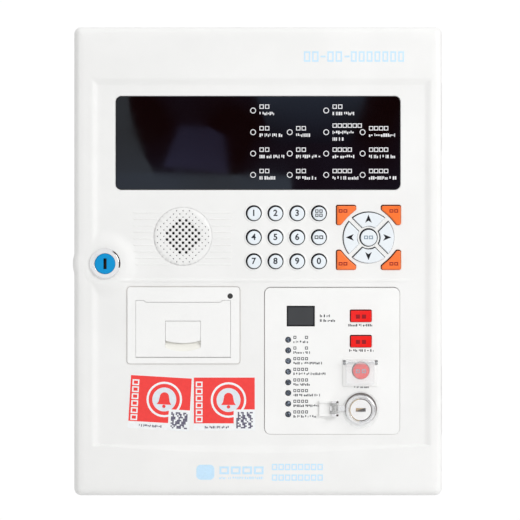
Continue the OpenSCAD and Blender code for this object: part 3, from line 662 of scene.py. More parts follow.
def door_blank():
    """The door's outer form: a relief with rounded edges and a flat back."""
    margin = 10.0
    bm = bmesh.new()
    half_w, half_h = DOOR_W / 2 - margin, DOOR_H / 2 - margin
    xs = stations(-half_w, [(-160, 1.4), (-118, 2.2), (166, 7.0), (half_w, 1.4)])
    zs = stations(-half_h, [(-194, 3.0), (-182, 0.8), (-38, 7.0), (-23, 2.2), (-16, 0.5), (34, 2.2),
                            (176, 7.0), (186, 0.9), (half_h, 3.0)])
    grid = [[bm.verts.new(at(x, front_depth(x, z), z)) for x in xs] for z in zs]
    for j in range(len(zs) - 1):
        for i in range(len(xs) - 1):
            bm.faces.new((grid[j][i], grid[j][i + 1], grid[j + 1][i + 1], grid[j + 1][i]))

    # sides of the outline, anticlockwise, with the way that each faces
    sides = [([(x, -half_h) for x in xs], (0, -1)), ([(half_w, z) for z in zs], (1, 0)),
             ([(x, half_h) for x in reversed(xs)], (0, 1)), ([(-half_w, z) for z in reversed(zs)], (-1, 0))]
    arc_steps = 5

    def ring(inward, drop, depth=None):
        """One ring of vertices, a drop below the relief or at a fixed depth."""
        reach = margin - inward
        radius = DOOR_R - inward
        made = []
        for points, (nx, nz) in sides:
            for x, z in points[1:-1]:
                bulge = 0.0
                if nx < 0:
                    off = (BOSS_R - 1) ** 2 - (z - LOCK_AT[1]) ** 2
                    edge = LOCK_AT[0] - sqrt(off) if off > 0 else 0.0
                    bulge = max(-DOOR_W / 2 - edge, 0.0) * reach / margin
                made.append((x + nx * (reach + bulge), z + nz * reach, x, z))
            corner = points[-1]
            middle = [copysign(size / 2 - DOOR_R, c) for size, c in zip((DOOR_W, DOOR_H), corner)]
            for s in range(arc_steps + 1):
                t = atan2(nz, nx) + pi / 2 * s / arc_steps
                spot = (middle[0] + radius * cos(t), middle[1] + radius * sin(t))
                made.append((*(spot if radius > 0 else corner), *corner))
        return [bm.verts.new(at(px, depth or front_depth(x, z) - drop, pz)) for px, pz, x, z in made]

    rings = [ring(margin, 0.0)]
    for i in range(1, 8):
        turn = pi / 2 * i / 7
        rings.append(ring(EDGE_R * (1 - sin(turn)), EDGE_R * (1 - cos(turn))))
    rings.append(ring(0.0, 0.0, SIDE_FOOT))
    # under the lock's bulge the wall runs back to the plain outline
    rings.append([bm.verts.new(at(max(v.co.x / MM, -DOOR_W / 2), RIM - 1.5, v.co.z / MM)) for v in rings[-1]])
    for a, b in zip(rings, rings[1:]):
        for i in range(len(a)):
            bm.faces.new((a[i - 1], a[i], b[i], b[i - 1]))
    bm.faces.new(rings[-1])
    bmesh.ops.remove_doubles(bm, verts=bm.verts, dist=0.00002)
    bmesh.ops.dissolve_degenerate(bm, edges=bm.edges, dist=0.00001)
    bmesh.ops.recalc_face_normals(bm, faces=bm.faces)
    return new_object("door_moulding", bm)


def apply_boolean(piece, cutter, operation="DIFFERENCE"):
    """Combines a solid with a second one, which goes."""
    step = piece.modifiers.new("step", "BOOLEAN")
    step.operation = operation
    step.object = cutter
    step.solver = "MANIFOLD"
    bpy.context.view_layer.update()
    shown = piece.evaluated_get(bpy.context.evaluated_depsgraph_get())
    made = bpy.data.meshes.new_from_object(shown)
    piece.modifiers.remove(step)
    old = piece.data
    piece.data = made
    bpy.data.meshes.remove(old)
    bpy.data.objects.remove(cutter)


def add_hole(bm, outline, top=FACE, flare=0.3):
    """Adds a cutter through the skin, slightly wider at the face."""
    wide = inset(outline, -flare)
    add_loft(bm, [(outline, INNER - 2), (outline, top - flare), (wide, top), (wide, PAST_FRONT)])


def add_recess(bm, centre, size, r, floor):
    """Adds a cutter for a flat piece flush with the face."""
    snug, wide = (round_rect(centre, size[0] + gap, size[1] + gap, r + gap / 2, 8) for gap in (0.7, 1.3))
    add_loft(bm, [(snug, floor), (snug, FACE - 0.3), (wide, FACE), (wide, PAST_FRONT)])


def door_holes():
    """Every cutter of the door's front, in one object."""
    bm = bmesh.new()
    add_recess(bm, WINDOW_AT, WINDOW_SIZE, 5.45, FACE - 1.8)
    add_hole(bm, circle(SPEAKER_AT, 29.35, 96), flare=0.15)
    add_hole(bm, round_rect(PRINTER_AT, PRINTER_SIZE[0] + 0.4, PRINTER_SIZE[1] + 0.4, 3.2), flare=0.25)
    # the plate sits a little low and to the right in its recess
    add_recess(bm, (SUB_AT[0] - 0.25, SUB_AT[1] + 0.25), SUB_SIZE, 5.95, FACE - PLATE_T)
    add_prism(bm, circle(LOCK_AT, 13.8), INNER - 2, PAST_FRONT)
    for name in ROUND_KEYS:
        add_hole(bm, circle(centre_of(name), KEY_HOLE_R), FACE + LIP_H)
    add_hole(bm, circle(PAD_AT, CENTRE_HOLE_R), flare=0.35)
    for i in range(4):
        add_hole(bm, arc_outline(HOLE_GROW, 90 * i, PAD_AT))
        add_hole(bm, corner_outline(HOLE_GROW, 90 * i, PAD_AT))
    return new_object("front_cutters", bm)


def back_cutters():
    """The inside of the door around its posts."""
    inside = round_rect((0, 0), DOOR_W - 2 * WALL, DOOR_H - 2 * WALL, 4)
    cavity = loft("cavity", [(inside, RIM - 3), (inside, INNER)])
    bm = bmesh.new()
    for p in BOARD_POSTS:
        pin, post = circle(p, 1.5, 20), circle(p, 3, 20)
        add_loft(bm, [(pin, PIN_END), (pin, BOARD_FRONT), (post, BOARD_FRONT), (post, INNER + 1)])
    for p in FRAME_POSTS:
        add_prism(bm, circle(p, 4, 24), RIM + 0.05, INNER + 1)
    apply_boolean(cavity, new_object("posts", bm))
    return cavity


def openings_behind():
    """Rear openings and hinge notches."""
    bm = bmesh.new()
    add_prism(bm, round_rect(WINDOW_AT, WINDOW_SIZE[0] - 10, WINDOW_SIZE[1] - 10, 3), RIM + 8, BAND + 3)
    add_prism(bm, round_rect(SUB_AT, SUB_SIZE[0] - 6, SUB_SIZE[1] - 6, 4), INNER - 1, BAND + 3)
    for z in HINGE_Z:
        add_prism(bm, rect(180.2, 186.5, z - HINGE_HALF, z + HINGE_HALF), 80.0, 89.6)
    return new_object("rear_cutters", bm)


def raised_details():
    """Lips round the keys and ribs by the speaker."""
    bm = bmesh.new()
    for name in ROUND_KEYS:
        lip = ((1.9, -0.4), (1.7, 0.1), (1.2, 0.45), (0.7, LIP_H))
        add_loft(bm, [(circle(centre_of(name), KEY_HOLE_R + out), FACE + rise) for out, rise in lip])
    clearance = 31.0
    for i in range(-4, 5):
        z = RIB_Z0 + i * RIB_PITCH
        gap = clearance ** 2 - (z - SPEAKER_AT[1]) ** 2
        cut = sqrt(gap) if gap > 0 else 0.0
        spans = [(RIB_X[0], SPEAKER_AT[0] - cut), (SPEAKER_AT[0] + cut, RIB_X[1])] if cut else [RIB_X]
        for x0, x1 in spans:
            if x1 - x0 > 2:
                bar = round_rect(((x0 + x1) / 2, z), x1 - x0, 1.3, 0.6, 4)
                add_loft(bm, [(bar, FACE - 0.4), (bar, FACE), (inset(bar, 0.2), FACE + 0.3),
                              (inset(bar, 0.45), FACE + 0.45)])
    return new_object("raised", bm)


def build_door():
    """Puts the door's moulding together."""
    door = door_blank()
    around = round_rect((0, 0), DOOR_W + 20, DOOR_H + 20, 3)
    apply_boolean(door, loft("rim_plane", [(around, RIM), (around, BAND + 10)]), "INTERSECT")
    apply_boolean(door, raised_details(), "UNION")
    for cutters in (door_holes, back_cutters, openings_behind):
        apply_boolean(door, cutters())
    shade(door, 32)
    weigh_normals(door)
    own(door, "door", "door_plastic", None, "door_shell")
    # the side walls round the key holes take the dark skirt material: painted shade in the gaps round the
    # keys
    door.data.materials.append(SKIRT_AND_GAP_SHADE)
    key_spots = [centre_of(name) for name in ROUND_KEYS]
    for face in door.data.polygons:
        x, depth, z = face.center.x / MM, -face.center.y / MM, face.center.z / MM
        on_pad = max(abs(x - PAD_AT[0]), abs(z - PAD_AT[1])) < CORNER_HIGH + 2
        on_key = min(hypot(x - k[0], z - k[1]) for k in key_spots) < KEY_HOLE_R + 0.5
        if (on_pad or on_key) and abs(face.normal.y) < 0.6 and INNER - 0.5 < depth < FACE + LIP_H:
            face.material_index = 1


build_door()


# ---- keys and buttons ----


def push_piece(cad_node, outline, stem_at, edge_r, flange, proud=CAP_PROUD, stem_r=2.0, skin_back=INNER):
    """A cap with a flange behind the skin and a stem towards its switch."""
    stem_end = -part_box(cad_node)[1].y / MM
    front = FACE + proud
    outline = [(x + SAG[0], z + SAG[1]) for x, z in inset(outline, CAP_SHRINK)]
    stem = []
    for x, z in outline:
        turn = atan2(z - stem_at[1], x - stem_at[0])
        stem.append((stem_at[0] + stem_r * cos(turn), stem_at[1] + stem_r * sin(turn)))
    grown = inset(outline, -flange)
    back = skin_back - 0.2
    rings = [(stem, stem_end), (stem, back - 1.2), (grown, back - 1.2), (grown, back), (outline, back)]
    rings += soft_front(outline, back + 0.1, front, edge_r)
    made = loft(cad_node + "_cap", rings)
    shade(made, 40)
    weigh_normals(made)
    own(made, cad_node, SLOT_OF[cad_node], None, cad_node)
    # the flange and stem take the dark skirt rubber, which also paints the gap round the cap in shade
    made.data.materials.append(SKIRT_AND_GAP_SHADE)
    for face in made.data.polygons:
        if -face.center.y / MM < back + 0.05:
            face.material_index = 1


for key in ROUND_KEYS:
    spot = centre_of(key)
    push_piece(key, circle(spot, KEY_R), spot, 1.1, 1.85)

push_piece("key_centre", circle(PAD_AT, CENTRE_R), PAD_AT, 0.9, 1.55)
for i in range(4):
    spot = turned([(ARC_STEM, 0)], PAD_AT, 90 * i)[0]
    push_piece(ARC_KEYS[i], arc_outline(0, 90 * i, PAD_AT), spot, 0.8, 0.9)
    spot = turned([(CORNER_STEM, CORNER_STEM)], PAD_AT, 90 * i)[0]
    push_piece(CORNER_KEYS[i], corner_outline(0, 90 * i, PAD_AT), spot, 1.5, 0.9)

for key in ("start_button", "stop_button"):
    spot = centre_of(key)
    push_piece(key, round_rect(spot, 21.1, 11.7, 1.0, 4), spot, 0.6, 1.2, BUTTON_PROUD, 2.5, FACE - PLATE_T)
spot = centre_of("release_button")
push_piece("release_button", circle(spot, 8.4), spot, 1.2, 2.0, RELEASE_PROUD, 3.0, FACE - PLATE_T)


# ---- display window ----

window = loft("window_pane", soft_front(round_rect(WINDOW_AT, *WINDOW_SIZE, 5.5, 8), FACE - 1.8, FACE, 0.5))
shade(window, 40)
weigh_normals(window)
own(window, "door", "window_black", None, "display_window")

LAMP_X = (-4.9, 31.8, 68.3, 104.8)
LAMP_Z = (151.0, 129.3, 107.9, 86.5)
# for each column and row: blocks in the first line, then the widths of the lines below
WINDOW_LABELS = {
    (0, 0): (2, 15), (0, 1): (2, 23), (0, 2): (2, 25), (0, 3): (2, 17), (1, 1): (2, 15), (1, 2): (2, 25),
    (1, 3): (2, 20), (2, 0): (2, 22), (2, 1): (6, 22, 11), (2, 2): (4, 22), (2, 3): (4, 27), (3, 1): (4, 26),
    (3, 2): (4, 27), (3, 3): (4, 29),
}
lamp_spots = [(LAMP_X[c], LAMP_Z[r]) for c, r in WINDOW_LABELS]
rings = [hoop(spot, 2.9, 2.15) for spot in lamp_spots]
ring_decal("window_lamp_rings", rings, FACE, PRINT_WHITE, "door", "lamp_clear")
marks = []
for (c, r), (count, *widths) in WINDOW_LABELS.items():
    x0 = LAMP_X[c] + 6.4
    top = LAMP_Z[r] + (3.9 if len(widths) == 1 else 6.6)
    marks += blocks(x0, top, count, (4.3, 4.3), 5.5 if count == 2 else 5.0, 0.75)
    for k, width in enumerate(widths):
        marks += dashes(x0, top - (6.9, 13.5)[k], width, 3.3, 1.5)
decal("window_labels", marks, FACE, PRINT_WHITE, "door", "lamp_clear")

# lamps: clear ones behind the window, smoked ones in the sub-panel
SUB_LAMP_X, SUB_LAMP_Z0, SUB_LAMP_PITCH = 30.2, -78.65, 10.67


def dome_rings(spot, r, back, top):
    """Rings of a lamp with a domed front."""
    made = [(circle(spot, r, 32), back)]
    for i in range(6):
        turn = pi / 2 * i / 6
        made.append((circle(spot, r * cos(turn), 32), top - r * 0.8 * (1 - sin(turn))))
    return made


lamp_mesh = bmesh.new()
for spot in lamp_spots:
    add_loft(lamp_mesh, dome_rings(spot, 2.5, BOARD_FRONT, FACE - 2.5))
finish("window_lamps", lamp_mesh, 50, "door", "lamp_clear", None, "indicator_leds")
lamp_mesh = bmesh.new()
for k in range(8):
    spot = (SUB_LAMP_X, SUB_LAMP_Z0 - k * SUB_LAMP_PITCH)
    add_loft(lamp_mesh, dome_rings(spot, 2.7, BOARD_FRONT, FACE + 1.2))
finish("status_lamps", lamp_mesh, 50, "door", "lamp_clear", LAMP_GREY_PAINTED_GLINTS)


# ---- print on the door, the sub-panel and the keys ----

marks = []
for k, second in enumerate((14.5, 17.0, 28.5, 32.0, 17.0, 26.5, 25.0, 22.5)):
    x, z = SUB_LAMP_X + 5.3, SUB_LAMP_Z0 - k * SUB_LAMP_PITCH
    if k < 2:
        marks += blocks(x, z + 2.4, 2, (2.9, 3.0), 11.6, 0.7)
    else:
        marks += blocks(x, z + 2.4, 4, (2.8, 3.0), 3.9, 0.7)
    marks += dashes(x, z - 2.1, second, 2.4, 1.2)
for line in ((62.0, -54.7, 11.0, 2.7, 1.3), (62.0, -59.4, 16.4, 2.5, 1.2), (90.4, -64.1, 24.0, 2.4, 1.3),
             (91.4, -89.4, 24.4, 2.4, 1.3), (96.2, -126.0, 14.6, 2.0, 1.2)):
    marks += dashes(*line)
decal("subpanel_print", marks, FACE, PRINT_DARK, "door", "trim_plastic")

marks = [rect(62.6, 67.6, 204.1, 205.8), rect(86.6, 91.6, 204.1, 205.8),
         round_rect((-52.7, -211.2), 18.0, 15.0, 4.5)]
for row in ((46.0, 204.9, 2, (6.4, 10.4), 8.2, 1.5), (69.4, 204.9, 2, (6.4, 10.4), 8.4, 1.5),
            (93.0, 204.9, 7, (5.8, 10.4), 7.9, 1.5), (-38.6, -209.3, 4, (9.6, 7.8), 11.5, 1.9),
            (14.0, -206.0, 8, (5.4, 6.2), 6.5, 1.25), (14.0, -216.6, 8, (5.4, 6.2), 6.5, 1.25)):
    marks += blocks(*row)
marks += dashes(-38.8, -216.9, 44.0, 2.4, 1.6)
decal("door_print", marks, BAND, PRINT_BLUE, "door", "door_plastic")


def digit(text, spot, depth, body):
    """A digit on a key."""
    curve = bpy.data.curves.new("digit_" + text, "FONT")
    curve.body = text
    curve.size = 8.6 * MM
    curve.align_x = "CENTER"
    curve.align_y = "CENTER"
    curve.extrude = 0.03 * MM
    curve.offset = 0.22 * MM
    curve.resolution_u = 4
    holder = link("digit_source", curve)
    bpy.context.view_layer.update()
    mesh = bpy.data.meshes.new_from_object(holder.evaluated_get(bpy.context.evaluated_depsgraph_get()))
    for v in mesh.vertices:
        x, z, out = v.co
        v.co = Vector((x, -out, z)) + at(spot[0], depth, spot[1])
    bpy.data.objects.remove(holder)
    own(link("digit_" + text, mesh), body, SLOT_OF[body], PRINT_DARK)


def key_mark(key, outlines, material, proud=CAP_PROUD, ending="_mark"):
    """Print on the front of a key or button."""
    decal(key + ending, outlines, FACE + proud, material, key, SLOT_OF[key])


for text in "1234567890":
    digit(text, centre_of("key_" + text), FACE + CAP_PROUD, "key_" + text)
for key in ("start_button", "stop_button"):
    x, z = centre_of(key)
    key_mark(key, blocks(x - 4.9, z - 0.7, 2, (4.1, 4.0), 6.0), PRINT_RED, BUTTON_PROUD)
x, z = centre_of("release_button")
key_mark("release_button", blocks(x - 4.9, z - 0.7, 2, (4.1, 4.0), 6.0, 1.0), PRINT_SLATE, RELEASE_PROUD)
x, z = centre_of("key_fn_a")
marks = [box for rise in (2.1, -2.1) for box in blocks(x - 3.6, z + rise, 2, (3.2, 3.3), 4.1, 0.8)]
key_mark("key_fn_a", marks, PRINT_DARK)
x, z = centre_of("key_fn_b")
key_mark("key_fn_b", blocks(x - 4.3, z, 2, (3.9, 3.6), 4.7, 0.9), PRINT_DARK)
x, z = PAD_AT
key_mark("key_centre", blocks(x - 4.4, z, 2, (4.0, 3.6), 4.9, 0.9), PRINT_SLATE)
ARROW = [(4.4, 0.0), (-3.6, 3.3), (-1.5, 0.0), (-3.6, -3.3)]
for i in range(4):
    spot = turned([(18.3, 0)], PAD_AT, 90 * i)[0]
    key_mark(ARC_KEYS[i], [turned(ARROW, spot, 90 * i)], PRINT_BLACK, ending="_arrow")
    turn = pi / 2 * (i + 0.5)
    spot = (x + 36.0 * cos(turn), z + 37.4 * sin(turn))
    key_mark(CORNER_KEYS[i], blocks(spot[0] - 4.4, spot[1], 2, (3.9, 3.3), 4.8, 0.9), PRINT_RED)

counter_edge = round_rect(COUNTER_AT, COUNTER_SIZE[0] - 0.1, COUNTER_SIZE[1] - 0.1, 0.6, 3)
ring_decal("counter_border", [(counter_edge, inset(counter_edge, 1.1))], front_of("countdown_display"),
           PRINT_BLACK, "door", "counter_grey")
film_edge = round_rect((103.1, -69.8), 31.5, 52.4, 1.5, 4)
ring_decal("button_film", [(film_edge, inset(film_edge, 0.5))], FACE, MATS["trim_plastic"], "door",
           "trim_plastic", 0.12)

# polished ring over the key switch's bezel, as radii and heights above the face
RING_PROFILE = [(11.5, 0.0), (15.3, 0.0), (15.3, 1.7), (14.2, 3.2), (13.8, 3.4), (13.2, 3.5), (12.4, 3.3),
                (11.5, 2.3)]
bm = bmesh.new()
add_loft(bm, [(circle(SWITCH_AT, r, 96), FACE + rise) for r, rise in RING_PROFILE], loop=True)
finish("switch_ring", bm, 20, "door", "chrome")

# dark gasket under that ring, shifted up so that it shows above it: a painted shadow along the top of the
# ring
bm = bmesh.new()
add_ring(bm, *hoop((SWITCH_AT[0] + 0.1, SWITCH_AT[1] + 1.0), 16.05, 14.0, 96), FACE + 0.1, FACE + 1.5)
finish("switch_gasket_painted_shade", bm, 40, "door", "black_rubber", GASKET_PAINTED_SHADE)

# sloping floor of the printer lid's finger scoop
SCOOP_X, SCOOP_HALF, SCOOP_R = -75.1, 17.6, 43.6
SCOOP_TOP, SCOOP_BEND, SCOOP_LOW = -80.0, -81.5, -90.2
bm = bmesh.new()
columns = []
for i in range(25):
    x = SCOOP_HALF * (i / 12 - 1)
    edge = SCOOP_LOW + SCOOP_R - sqrt(SCOOP_R ** 2 - x ** 2)
    rows = []
    for k in range(11):
        z = SCOOP_TOP + (edge - SCOOP_TOP) * k / 10
        rise = 2.8 * smooth((SCOOP_BEND - z) / (SCOOP_BEND - edge)) ** 0.7
        rows.append(bm.verts.new(at(SCOOP_X + x, FACE - 2.6 + rise, z)))
    rows += [bm.verts.new(at(SCOOP_X + x, FACE - 6.0, z)) for z in (edge, SCOOP_TOP)]
    columns.append(rows)
join_rows(bm, columns)
finish("scoop_floor", bm, 40, "printer_flap", "trim_plastic", SCOOP_PLASTIC)

# clear flip-up guard: a moulded cup with round corners on a hinge rod
GUARD_AXIS, GUARD_AXIS_Z = FACE + 6.6, -101.3
GUARD_T, GUARD_BARREL, GUARD_PIN, PIN_OUT = 1.4, 1.9, 1.0, 2.7
low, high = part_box("release_guard")
guard_w = (high.x - low.x) / MM - 2 * PIN_OUT
guard_h = GUARD_AXIS_Z + 0.4 - low.z / MM
guard_at = ((low.x + high.x) / 2 / MM, low.z / MM + guard_h / 2)
guard_back, guard_front = -high.y / MM, GUARD_AXIS + GUARD_BARREL
outer = round_rect(guard_at, guard_w, guard_h, 3.2, 8)
inner = round_rect(guard_at, guard_w - 2 * GUARD_T, guard_h - 2 * GUARD_T, 1.8, 8)
bm = bmesh.new()
hollow = [(inner, guard_front - GUARD_T), (inner, guard_back)]
add_loft(bm, hollow + soft_front(outer, guard_back, guard_front, 0.8))
lie = Matrix.Translation(at(guard_at[0], GUARD_AXIS, GUARD_AXIS_Z)) @ Matrix.Rotation(pi / 2, 4, "Y")
for length, r in ((guard_w, GUARD_BARREL), (guard_w + 2 * PIN_OUT, GUARD_PIN)):
    bmesh.ops.create_cone(bm, cap_ends=True, segments=32, radius1=r * MM, radius2=r * MM, depth=length * MM,
                          matrix=lie)
finish("guard_cup", bm, 12, "release_guard", "clear_cover", None, "release_guard")

# torsion spring round the pin of the key switch's cover
COVER_AXIS_X, COVER_AXIS = 77.0, FACE + 5.2
SPRING_Z = (-151.2, -143.6)
spring = bmesh.new()
turns, per_turn, wire, coil_r = 6, 20, 0.42, 2.7
loops = []
for i in range(turns * per_turn + 1):
    t = 2 * pi * i / per_turn
    out = Vector((cos(t), sin(t), 0))
    rise = SPRING_Z[0] + (SPRING_Z[1] - SPRING_Z[0]) * i / (turns * per_turn)
    middle = Vector((COVER_AXIS_X, -COVER_AXIS, rise)) + out * coil_r
    bends = [pi * k / 4 for k in range(8)]
    spots = [middle + wire * (out * cos(b) + Vector((0, 0, sin(b)))) for b in bends]
    loops.append([spring.verts.new(spot * MM) for spot in spots])
join_rows(spring, loops)
finish("cover_spring", spring, 60, "keyswitch_cover", "plated_steel")


# ---- stickers: a bell badge, plain boxes and bars, and a patch of random blocks ----

BELL_R = 4.6


def bell():
    """A bell with a flared skirt and a clapper."""
    dome = circle((0, 2.6), BELL_R, 24)[:13]
    return [[(-7.4, -5.0), (7.4, -5.0), (5.6, -2.4)] + dome + [(-5.6, -2.4)], circle((0, -6.9), 1.7, 20)]


def sticker(name, centre, degrees):
    """One sticker, in thin layers."""
    half_w, half_h, margin = 30.9, 26.7, 0.4
    ring_at = (4.2, 3.8)
    patch_x, patch_z = 9.4, -5.7
    film, layer, cell = 0.06, 0.05, 1.5

    def add(part, outlines, step, material, slot):
        """Adds one layer of the sticker."""
        depth, thick = (FACE, film) if step < 0 else (FACE + film + step * layer, layer)
        placed = [turned(o, centre, degrees) for o in outlines]
        decal(f"{name}_{part}", placed, depth, material, "door", slot, thick)

    add("film", [round_rect((0, 0), 2 * half_w, 2 * half_h, 1.2, 4)], -1, STICKER_WHITE, "paper")
    left, right, top = margin - half_w, half_w - margin, half_h - margin
    field = [(left, -19.6), (patch_x, -19.6), (patch_x, patch_z), (right, patch_z), (right, top), (left, top)]
    add("field", [field], 0, STICKER_RED, "button_red")
    spot = turned([ring_at], centre, degrees)[0]
    ring_decal(name + "_ring", [hoop(spot, 17.8, 15.7)], FACE + film + layer, STICKER_WHITE, "door", "paper",
               layer)
    add("disc", [circle(ring_at, 12.0, 48)], 1, STICKER_PALE, "paper")
    add("patch", [rect(patch_x, half_w - 1.2, -half_h + 1.2, patch_z)], 2, STICKER_WHITE, "paper")
    add("bell", [turned(o, ring_at, 0) for o in bell()], 2, STICKER_RED, "button_red")
    squares = []
    for j in range(11):
        level = -8.2 - j * cell
        i = rng.randrange(2)
        while i < 11:
            run = min(rng.randrange(1, 4), 11 - i)
            squares.append(rect(12.0 + i * cell, 12.0 + (i + run) * cell, level - cell * 0.94, level))
            i += run + rng.randrange(1, 3)
    squares += dashes(-19.5, -23.4, 24.0, 2.4, 1.2)
    add("pattern", squares, 3, STICKER_GREY, "feed_black")
    column = [box for i in range(6) for box in blocks(-28.6, 19.4 - i * 7.0, 1, (6.8, 5.8), 7.0, 1.3)]
    add("bars", column, 1, STICKER_WHITE, "paper")


sticker("sticker_left", (-98.3, -142.0), -3.4)
sticker("sticker_right", (-33.75, -142.8), 0.0)


# ---- faces of the CAD nodes that have their own finish ----

MAIN_FRONT = front_of("main_board") - FACE - 21.95
TRIM, CHROME, PLATED, CLEAR = (MATS[s] for s in ("trim_plastic", "chrome", "plated_steel", "clear_cover"))
# each test has the middle of a face, its depth from the door's face, and whether it looks sideways
for name, material, chosen in (
    # lock keyway and key switch slot: dark metal, darkened as painted shade in the slots
    ("lock_plug", SLOT_PAINTED_SHADE, lambda x, d, z, side: dist((x, z), LOCK_AT) < 5.6 and d < 4.6),
    ("keyswitch_rotor", SLOT_PAINTED_SHADE, lambda x, d, z, side: d < 3.3),
    ("keyswitch_rotor", BRASS, lambda x, d, z, side: d < 3.3 and x < SWITCH_AT[0] - 1),
    ("keyswitch_body", CHROME, lambda x, d, z, side: d > 0.1 and x > SWITCH_AT[0] - 16),
    ("keyswitch_body", TRIM, lambda x, d, z, side: d > -0.1 and x < 73),
    ("guard_base", CLEAR, lambda x, d, z, side: d > 1.1 and not 88.3 < x < 116.7),
    # the sub-panel plate's sides and the printer housing's outer sides: painted shade in the gaps round them
    ("subpanel_plate", SEAM_PAINTED_SHADE, lambda x, d, z, side: side),
    ("printer_housing", SEAM_PAINTED_SHADE_PALE, lambda x, d, z, side: side and d > INNER - FACE
     and (abs(x - PRINTER_AT[0]) > 54 or abs(z - PRINTER_AT[1]) > 36.5)),
    ("main_board", CHIP_BLACK, lambda x, d, z, side: d > MAIN_FRONT),
    ("main_board", RELAY_BLUE, lambda x, d, z, side: d > MAIN_FRONT and x < 10 and z < 92),
    ("main_board", GOLD, lambda x, d, z, side: d > MAIN_FRONT and x > 50 and 104 < z < 134),
    ("main_board", PLATED, lambda x, d, z, side: d > MAIN_FRONT + 21.85),
    ("front_board", CHIP_BLACK, lambda x, d, z, side: not 100.95 < d + FACE < 102.65),
    ("front_board", GOLD, lambda x, d, z, side: d + FACE < 94.5),
    # dark skirt material inside the grille's outer ring of dimples: painted shade in them
    ("speaker_grille", SKIRT_AND_GAP_SHADE, lambda x, d, z, side: d < -0.15 and 17 < dist((x, z), SPEAKER_AT) < 29),
):
    paint_faces(name, material, chosen)
NODES["keyswitch_cover"].data.materials[0] = CLEAR_CAP


# ---- camera, light and floor ----

CAMERA_AWAY = 2.5
VIEW_WIDTH = 0.5205
camera_data = bpy.data.cameras.new("camera")
camera_data.sensor_width = 36.0
camera_data.lens = 36.0 * CAMERA_AWAY / VIEW_WIDTH
camera_data.clip_end = 50.0
camera = link("camera", camera_data)
camera.location = (0.002, -(FACE + 2.0) * MM - CAMERA_AWAY, 0.00125)
camera.rotation_euler = (pi / 2, 0, 0)
bpy.context.scene.camera = camera
bpy.context.scene.view_settings.view_transform = "Standard"


def area_light(name, location, target, size, power):
    """A square light aimed at a point."""
    data = bpy.data.lights.new(name, "AREA")
    data.size = size
    data.energy = power
    lamp = link(name, data)
    lamp.location = location
    lamp.rotation_euler = (Vector(target) - Vector(location)).to_track_quat("-Z", "Y").to_euler()
    return lamp


area_light("key_light", (1.75, -1.9, 0.95), (0, -0.1, 0), 1.2, 30.5)
top_light = area_light("top_light", (0.1, -0.4, 2.2), (0, -0.1, 0.2), 0.9, 5.0)
top_light.visible_glossy = False

AMBIENT = 0.705
WHITE = (1, 1, 1, 1)
world = bpy.data.worlds.new("studio")
bpy.context.scene.world = world
world.use_nodes = True
light = world.node_tree.nodes["Background"]
light.inputs["Color"].default_value = WHITE
light.inputs["Strength"].default_value = AMBIENT
# what the camera sees behind the panel
seen = node(world, "Background", Color=WHITE, Strength=1.02)
# the studio that glossy parts mirror: white, with a dark wall on the right
room = node(world, "Background", Strength=0.95)
where = node(world, "TexCoord")
toward = node(world, "VectorMath")
toward.operation = "DOT_PRODUCT"
toward.inputs[1].default_value = Vector((0.97, 0.05, 0.1)).normalized()
path = node(world, "LightPath")
mirrored = node(world, "MixShader")
mix = node(world, "MixShader")
for source, target in (
    (where.outputs["Generated"], toward.inputs[0]),
    (ramp(world, toward.outputs["Value"], WHITE[:3], (0.05, 0.035, 0.03), 0.48, 0.6), room.inputs["Color"]),
    (path.outputs["Is Glossy Ray"], mirrored.inputs["Fac"]),
    (light.outputs["Background"], mirrored.inputs[1]),
    (room.outputs["Background"], mirrored.inputs[2]),
    (path.outputs["Is Camera Ray"], mix.inputs["Fac"]),
    (mirrored.outputs["Shader"], mix.inputs[1]),
    (seen.outputs["Background"], mix.inputs[2]),
    (mix.outputs["Shader"], world.node_tree.nodes["World Output"].inputs["Surface"]),
):
    world.node_tree.links.new(source, target)


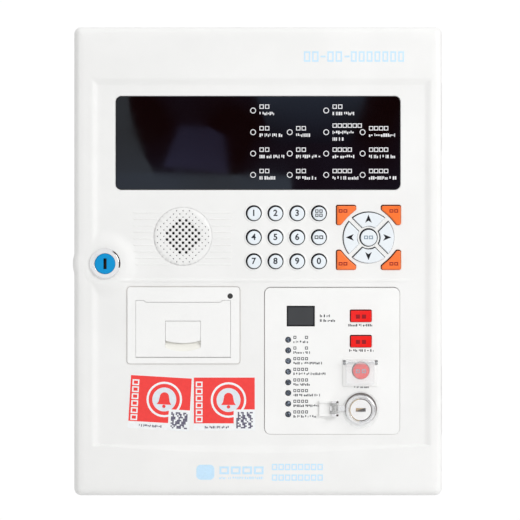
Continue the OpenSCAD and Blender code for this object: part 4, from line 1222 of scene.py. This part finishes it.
def reflector(name, outline, away, colour, strength, faded=0.0):
    """A card behind the camera, in metres, seen only in glossy surfaces and fading towards its foot."""
    mesh = bmesh.new()
    mesh.faces.new([mesh.verts.new((x, -away, z)) for x, z in outline])
    card = new_object(name, mesh)
    look = surface(name, (0, 0, 0), 1.0, specular=0.0)
    look.node_tree.nodes["Principled BSDF"].inputs["Emission Color"].default_value = (*colour, 1)
    place = node(look, "TexCoord")
    split = node(look, "SeparateXYZ")
    look.node_tree.links.new(place.outputs["Generated"], split.inputs["Vector"])
    spread(look, split.outputs["Z"], "Emission Strength", strength * (1 - faded), strength, 0.0, 1.0)
    card.data.materials.append(look)
    card.visible_camera = False
    card.visible_diffuse = False
    card.visible_shadow = False


# a dark flag that keeps the display window black, with pale cards that give it soft reflections
FLAG_AWAY = 3.62
reflector("flag", rect(-0.40, 0.40, 0.14, 0.44), FLAG_AWAY, (0.08, 0.02, 0.02), 0.6)
curve = [(-0.36, 0.14), (-0.25, 0.14), (-0.245, 0.20), (-0.275, 0.25), (-0.30, 0.31), (-0.312, 0.37),
         (-0.315, 0.44), (-0.36, 0.44)]
reflector("card_left", curve, FLAG_AWAY - 0.02, (0.60, 0.72, 0.82), 1.15)
curve = [(-0.37, 0.14), (0.08, 0.14), (0.075, 0.203), (-0.15, 0.206), (-0.37, 0.212)]
reflector("card_low", curve, FLAG_AWAY - 0.03, (0.62, 0.78, 0.96), 1.25)
curve = [(0.03, 0.28), (0.22, 0.28), (0.27, 0.44), (-0.02, 0.44)]
reflector("card_high", curve, FLAG_AWAY - 0.02, (0.45, 0.65, 0.95), 1.25, 1.0)
curve = [(-0.23, 0.225), (-0.075, 0.208), (-0.085, 0.30), (-0.12, 0.32), (-0.19, 0.325)]
reflector("card_middle", curve, FLAG_AWAY - 0.01, (0.42, 0.42, 0.85), 0.7, -0.6)

floor_mesh = bmesh.new()
bmesh.ops.create_circle(floor_mesh, cap_ends=True, segments=96, radius=1.5)
floor = new_object("floor", floor_mesh)
floor.location = (0, -0.06, -0.45)
floor.data.materials.append(painted("studio_floor", (0.88, 0.88, 0.88), 0.7))
